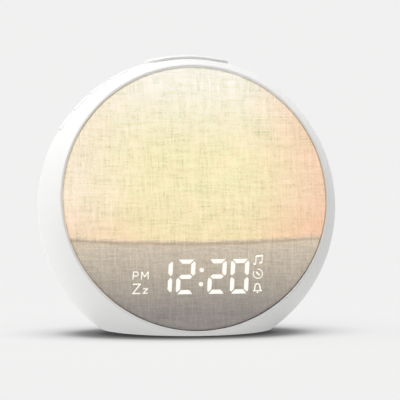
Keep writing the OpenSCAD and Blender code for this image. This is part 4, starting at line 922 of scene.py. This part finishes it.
DIGITS_RIGHT = 29.15
PITCH = 13.1
COLON_PITCH = 18.2
COLON_RADIUS = 1.25
COLON_DOTS = ((2.7, -41.6), (2.0, -49.7))
digit("0", DIGITS_RIGHT)
digit("2", DIGITS_RIGHT - PITCH)
digit("2", DIGITS_RIGHT - PITCH - COLON_PITCH)
digit("1", DIGITS_RIGHT - 2 * PITCH - COLON_PITCH)
for x, y in COLON_DOTS:
    disc(x, y, COLON_RADIUS)
print("digits:", len(plates.faces), "faces")

# %% Small signs beside the digits
SIGN_LINE = 0.52
SLEEP_LINES = (0.65, 0.55)
NOTE_LINE = 0.48
NOTE_BEAM = 0.7
NOTE_HEAD = 1.05
TIMER_RING = 0.5
TIMER_HAND = 0.85
BELL_LINE = 0.72
BELL_RIM = 0.6
CLAPPER_RADIUS = 0.5


def polyline(points, width=SIGN_LINE):
    """Straight strokes from point to point, with round joints and ends."""
    for start, end in zip(points, points[1:]):
        stroke(start, end, width)
    for x, y in points:
        disc(x, y, width / 2, 12)


def letter_z(x0, y0, x1, y1, width):
    """The sleep sign: a slanting zigzag of three strokes inside a box."""
    half = width / 2
    slant = (y1 - y0) * math.tan(DIGIT_LEAN)
    polyline([(x0 + slant + half, y1 - half), (x1 - half, y1 - half), (x0 + half, y0 + half),
              (x1 - slant - half, y0 + half)], width)


# The afternoon sign and the sleep sign
polyline([(-37.25, -46.4), (-36.9, -42.25), (-35.3, -42.25)])
polyline([(-37.05, -44.6), (-35.4, -44.6)])
arc(-35.3, -43.42, 1.17, SIGN_LINE, 90, -90)
polyline([(-32.4, -46.4), (-32.0, -42.35), (-30.45, -45.1), (-28.4, -42.35), (-28.5, -46.4)])
letter_z(-37.9, -55.0, -32.8, -49.0, SLEEP_LINES[0])
letter_z(-31.8, -54.8, -28.7, -51.8, SLEEP_LINES[1])

# The tune, the timer and the bell
polyline([(34.2, -38.0), (34.55, -33.95), (38.2, -33.4), (37.85, -37.5)], NOTE_LINE)
stroke((34.5, -34.05), (38.2, -33.5), NOTE_BEAM)
stroke((32.9, -38.5), (34.1, -38.3), NOTE_HEAD)
stroke((36.35, -37.75), (37.7, -37.6), NOTE_HEAD)
arc(35.3, -44.05, 2.68, TIMER_RING, 95, -215, 40)
polyline([(35.9, -44.7), (34.6, -43.25)], TIMER_HAND)
arc(34.8, -51.2, 1.35, BELL_LINE, 0, 180)
stroke((33.45, -51.2), (33.0, -53.7), BELL_LINE)
stroke((36.15, -51.2), (36.6, -53.7), BELL_LINE)
polyline([(32.5, -53.9), (37.1, -53.9)], BELL_RIM)
disc(34.75, -54.8, CLAPPER_RADIUS)
bmesh.ops.recalc_face_normals(plates, faces=plates.faces)
signs_mesh = bpy.data.meshes.new("time_signs")
plates.to_mesh(signs_mesh)
plates.free()
signs_mesh.materials.append(glyph_glow)
time_signs = put_in_scene("time_signs", signs_mesh)
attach(time_signs, "clock")
print("signs:", len(signs_mesh.polygons), "faces")

# %% [markdown]
# ## Keys with softened edges
# A moulded key never has a knife edge: the tool leaves a small radius all round its top, and that
# radius is what catches the light as a thin bright line. Each cap is a stack of rings that share one
# outline. The lowest rings make the flange that holds the key under the shell, the next ones its wall, a
# quarter turn rounds the edge, and the last ones close the top, which follows the ball. The snooze bar
# is hollow, so its stack starts with the ceiling and the walls of the hollow; its two guide pins and the
# post that meets the switch are rods, sunk into the ceiling.

# %% Rings into a closed cap
INNER_SKIN = 84.3
ROUND_STEPS = 5
TOP_STEPS = 6
CLOSING = 0.4
SHARP_ANGLE = math.radians(40)


def on_skin(ring, radius, drop=0.0):
    """Lifts a flat ring onto a ball of this radius, or a little under it."""
    return [(x, y, math.sqrt(radius ** 2 - x ** 2 - y ** 2) - drop) for x, y in ring]


def close_ring(solid, loop):
    """Closes a ring with a strip between its two mirrored halves, so that the strip can be curved."""
    last = len(loop) - 1
    for i in range(len(loop) // 2 - 1):
        solid.faces.new((loop[i], loop[i + 1], loop[last - i - 1], loop[last - i]))


def stack_rings(solid, rings, place):
    """Joins a stack of rings into one closed skin."""
    loops = [[solid.verts.new(place(*point)) for point in ring] for ring in rings]
    for lower, upper in zip(loops, loops[1:]):
        for i in range(len(lower)):
            after = (i + 1) % len(lower)
            solid.faces.new((lower[i], lower[after], upper[after], upper[i]))
    close_ring(solid, loops[0])
    close_ring(solid, loops[-1])


def cap_rings(outline, half_width, skin, edge, flange, foot, wall=None):
    """The rings of a key; outline(inset) is its shape, and a wall makes it hollow."""
    rings = []
    if wall is not None:
        for step in range(TOP_STEPS, -1, -1):
            inset = wall + (half_width - CLOSING - wall) * step / TOP_STEPS
            rings.append(on_skin(outline(inset), skin - wall))
        rings.append([(x, y, foot) for x, y in outline(wall)])
    rings.append([(x, y, foot) for x, y in outline(-flange)])
    rings.append(on_skin(outline(-flange), INNER_SKIN))
    rings.append(on_skin(outline(0), INNER_SKIN))
    for step in range(ROUND_STEPS + 1):
        turn = math.pi / 2 * step / ROUND_STEPS
        rings.append(on_skin(outline(edge * (1 - math.cos(turn))), skin, edge * (1 - math.sin(turn))))
    for step in range(1, TOP_STEPS + 1):
        rings.append(on_skin(outline(edge + (half_width - CLOSING - edge) * step / TOP_STEPS), skin))
    return rings


def rod_rings(x, y, radius, bottom, top, sides=32):
    """The two rings of an upright rod."""
    turns = [2 * math.pi * (i + 0.5) / sides for i in range(sides)]
    circle = [(x + radius * math.cos(a), y + radius * math.sin(a)) for a in turns]
    return [[(u, v, z) for u, v in circle] for z in (bottom, top)]


def key_piece(name, stacks, place, body, node):
    """One key from its stacks of rings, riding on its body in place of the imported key."""
    cap = bmesh.new()
    for rings in stacks:
        stack_rings(cap, rings, place)
    bmesh.ops.recalc_face_normals(cap, faces=cap.faces)
    for face in cap.faces:
        face.smooth = True
    mesh = bpy.data.meshes.new(name)
    cap.to_mesh(mesh)
    cap.free()
    mesh.materials.append(key_white)
    mesh.set_sharp_from_angle(angle=SHARP_ANGLE)
    piece = put_in_scene(name, mesh)
    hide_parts(node)
    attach(piece, body)
    return piece


# %% The snooze bar
SNOOZE_LENGTH = 49.0
SNOOZE_WIDTH = 20.0
SNOOZE_BACK = 2.0
SNOOZE_PROUD = 1.5
SNOOZE_SKIN = BALL_RADIUS + SNOOZE_PROUD
SNOOZE_EDGE = 0.4
SNOOZE_LIP = 1.2
SNOOZE_FOOT = 78.74
SNOOZE_WALL = 2.0
GUIDE_OUT = 15.0
GUIDE_RADIUS = 2.0
GUIDE_BOTTOM = 68.4
POST_RADIUS = 2.5
POST_BOTTOM = 77.6
QUARTER_STEPS = 14
STRAIGHT_STEPS = 24


def snooze_outline(inset):
    """A bar with round ends, a little behind the ball's middle; its front half mirrors its back half."""
    radius = SNOOZE_WIDTH / 2 - inset
    reach = (SNOOZE_LENGTH - SNOOZE_WIDTH) / 2
    turns = [math.pi / 2 * (i + 0.5) / QUARTER_STEPS for i in range(QUARTER_STEPS)]
    right_end = [(reach + radius * math.cos(a), radius * math.sin(a)) for a in turns]
    straight = [(reach * (1 - 2 * i / STRAIGHT_STEPS), radius) for i in range(STRAIGHT_STEPS + 1)]
    half_ring = right_end + straight + [(-x, y) for x, y in reversed(right_end)]
    back_half = [(x, SNOOZE_BACK + y) for x, y in half_ring]
    return back_half + [(x, SNOOZE_BACK - y) for x, y in reversed(half_ring)]


def over_ball(x, y, z):
    """A place in millimetres from the ball's centre."""
    return BALL + Vector((x, y, z)) * MM


guide_top = math.sqrt(SNOOZE_SKIN ** 2 - GUIDE_OUT ** 2) - SNOOZE_WALL / 2
post_top = SNOOZE_SKIN - SNOOZE_WALL / 2
snooze_stacks = [cap_rings(snooze_outline, SNOOZE_WIDTH / 2, SNOOZE_SKIN, SNOOZE_EDGE, SNOOZE_LIP,
                           SNOOZE_FOOT, SNOOZE_WALL),
                 rod_rings(0, SNOOZE_BACK, POST_RADIUS, POST_BOTTOM, post_top)]
for side in (-GUIDE_OUT, GUIDE_OUT):
    snooze_stacks.append(rod_rings(side, SNOOZE_BACK, GUIDE_RADIUS, GUIDE_BOTTOM, guide_top))
snooze_cap = key_piece("snooze_cap", snooze_stacks, over_ball, "snooze", "snooze_button")
print("snooze cap:", len(snooze_cap.data.polygons), "faces")

# %% The four side keys
ROW_ANGLE = math.radians(131)
KEY_PITCH = 13.6
KEY_SIZE = (11.2, 10.0)
KEY_COUNT = 4
KEY_CORNER = 2.0
LEAST_CORNER = 0.3
CORNER_STEPS = 8
KEY_PROUD = 0.3
KEY_SKIN = BALL_RADIUS + KEY_PROUD
KEY_EDGE = 0.3
KEY_LIP = 0.9
KEY_FOOT = 78.47
ROW_ALONG = Vector((math.sin(ROW_ANGLE), 0, -math.cos(ROW_ANGLE)))
ROW_OUT = Vector((math.cos(ROW_ANGLE), 0, math.sin(ROW_ANGLE)))


def key_outline(middle):
    """The outline of a key whose middle is this far along the row."""
    def outline(inset):
        corner = max(KEY_CORNER - inset, LEAST_CORNER)
        half_x, half_y = KEY_SIZE[0] / 2 - inset - corner, KEY_SIZE[1] / 2 - inset - corner
        points = []
        for quarter, (sx, sy) in enumerate(((1, 1), (-1, 1), (-1, -1), (1, -1))):
            for i in range(CORNER_STEPS + 1):
                turn = math.pi / 2 * (quarter + i / CORNER_STEPS)
                points.append((middle + sx * half_x + corner * math.cos(turn),
                               sy * half_y + corner * math.sin(turn)))
        return points
    return outline


def along_row(x, y, z):
    """A place in millimetres along the row, to the back and outwards, from the ball's centre."""
    return BALL + (ROW_ALONG * x + ROW_OUT * z + Vector((0, y, 0))) * MM


for index in range(1, KEY_COUNT + 1):
    middle = (index - (KEY_COUNT + 1) / 2) * KEY_PITCH
    rings = cap_rings(key_outline(middle), KEY_SIZE[1] / 2, KEY_SKIN, KEY_EDGE, KEY_LIP, KEY_FOOT)
    side_cap = key_piece(f"side_cap_{index}", [rings], along_row, f"side_key_{index}", f"side_button_{index}")
print(KEY_COUNT, "side caps of", len(side_cap.data.polygons), "faces each")

# %% [markdown]
# ## Finish
# The colours are shown as they are written, so the view transform is the plain one.

# %% Finish
bpy.context.scene.view_settings.view_transform = "Standard"
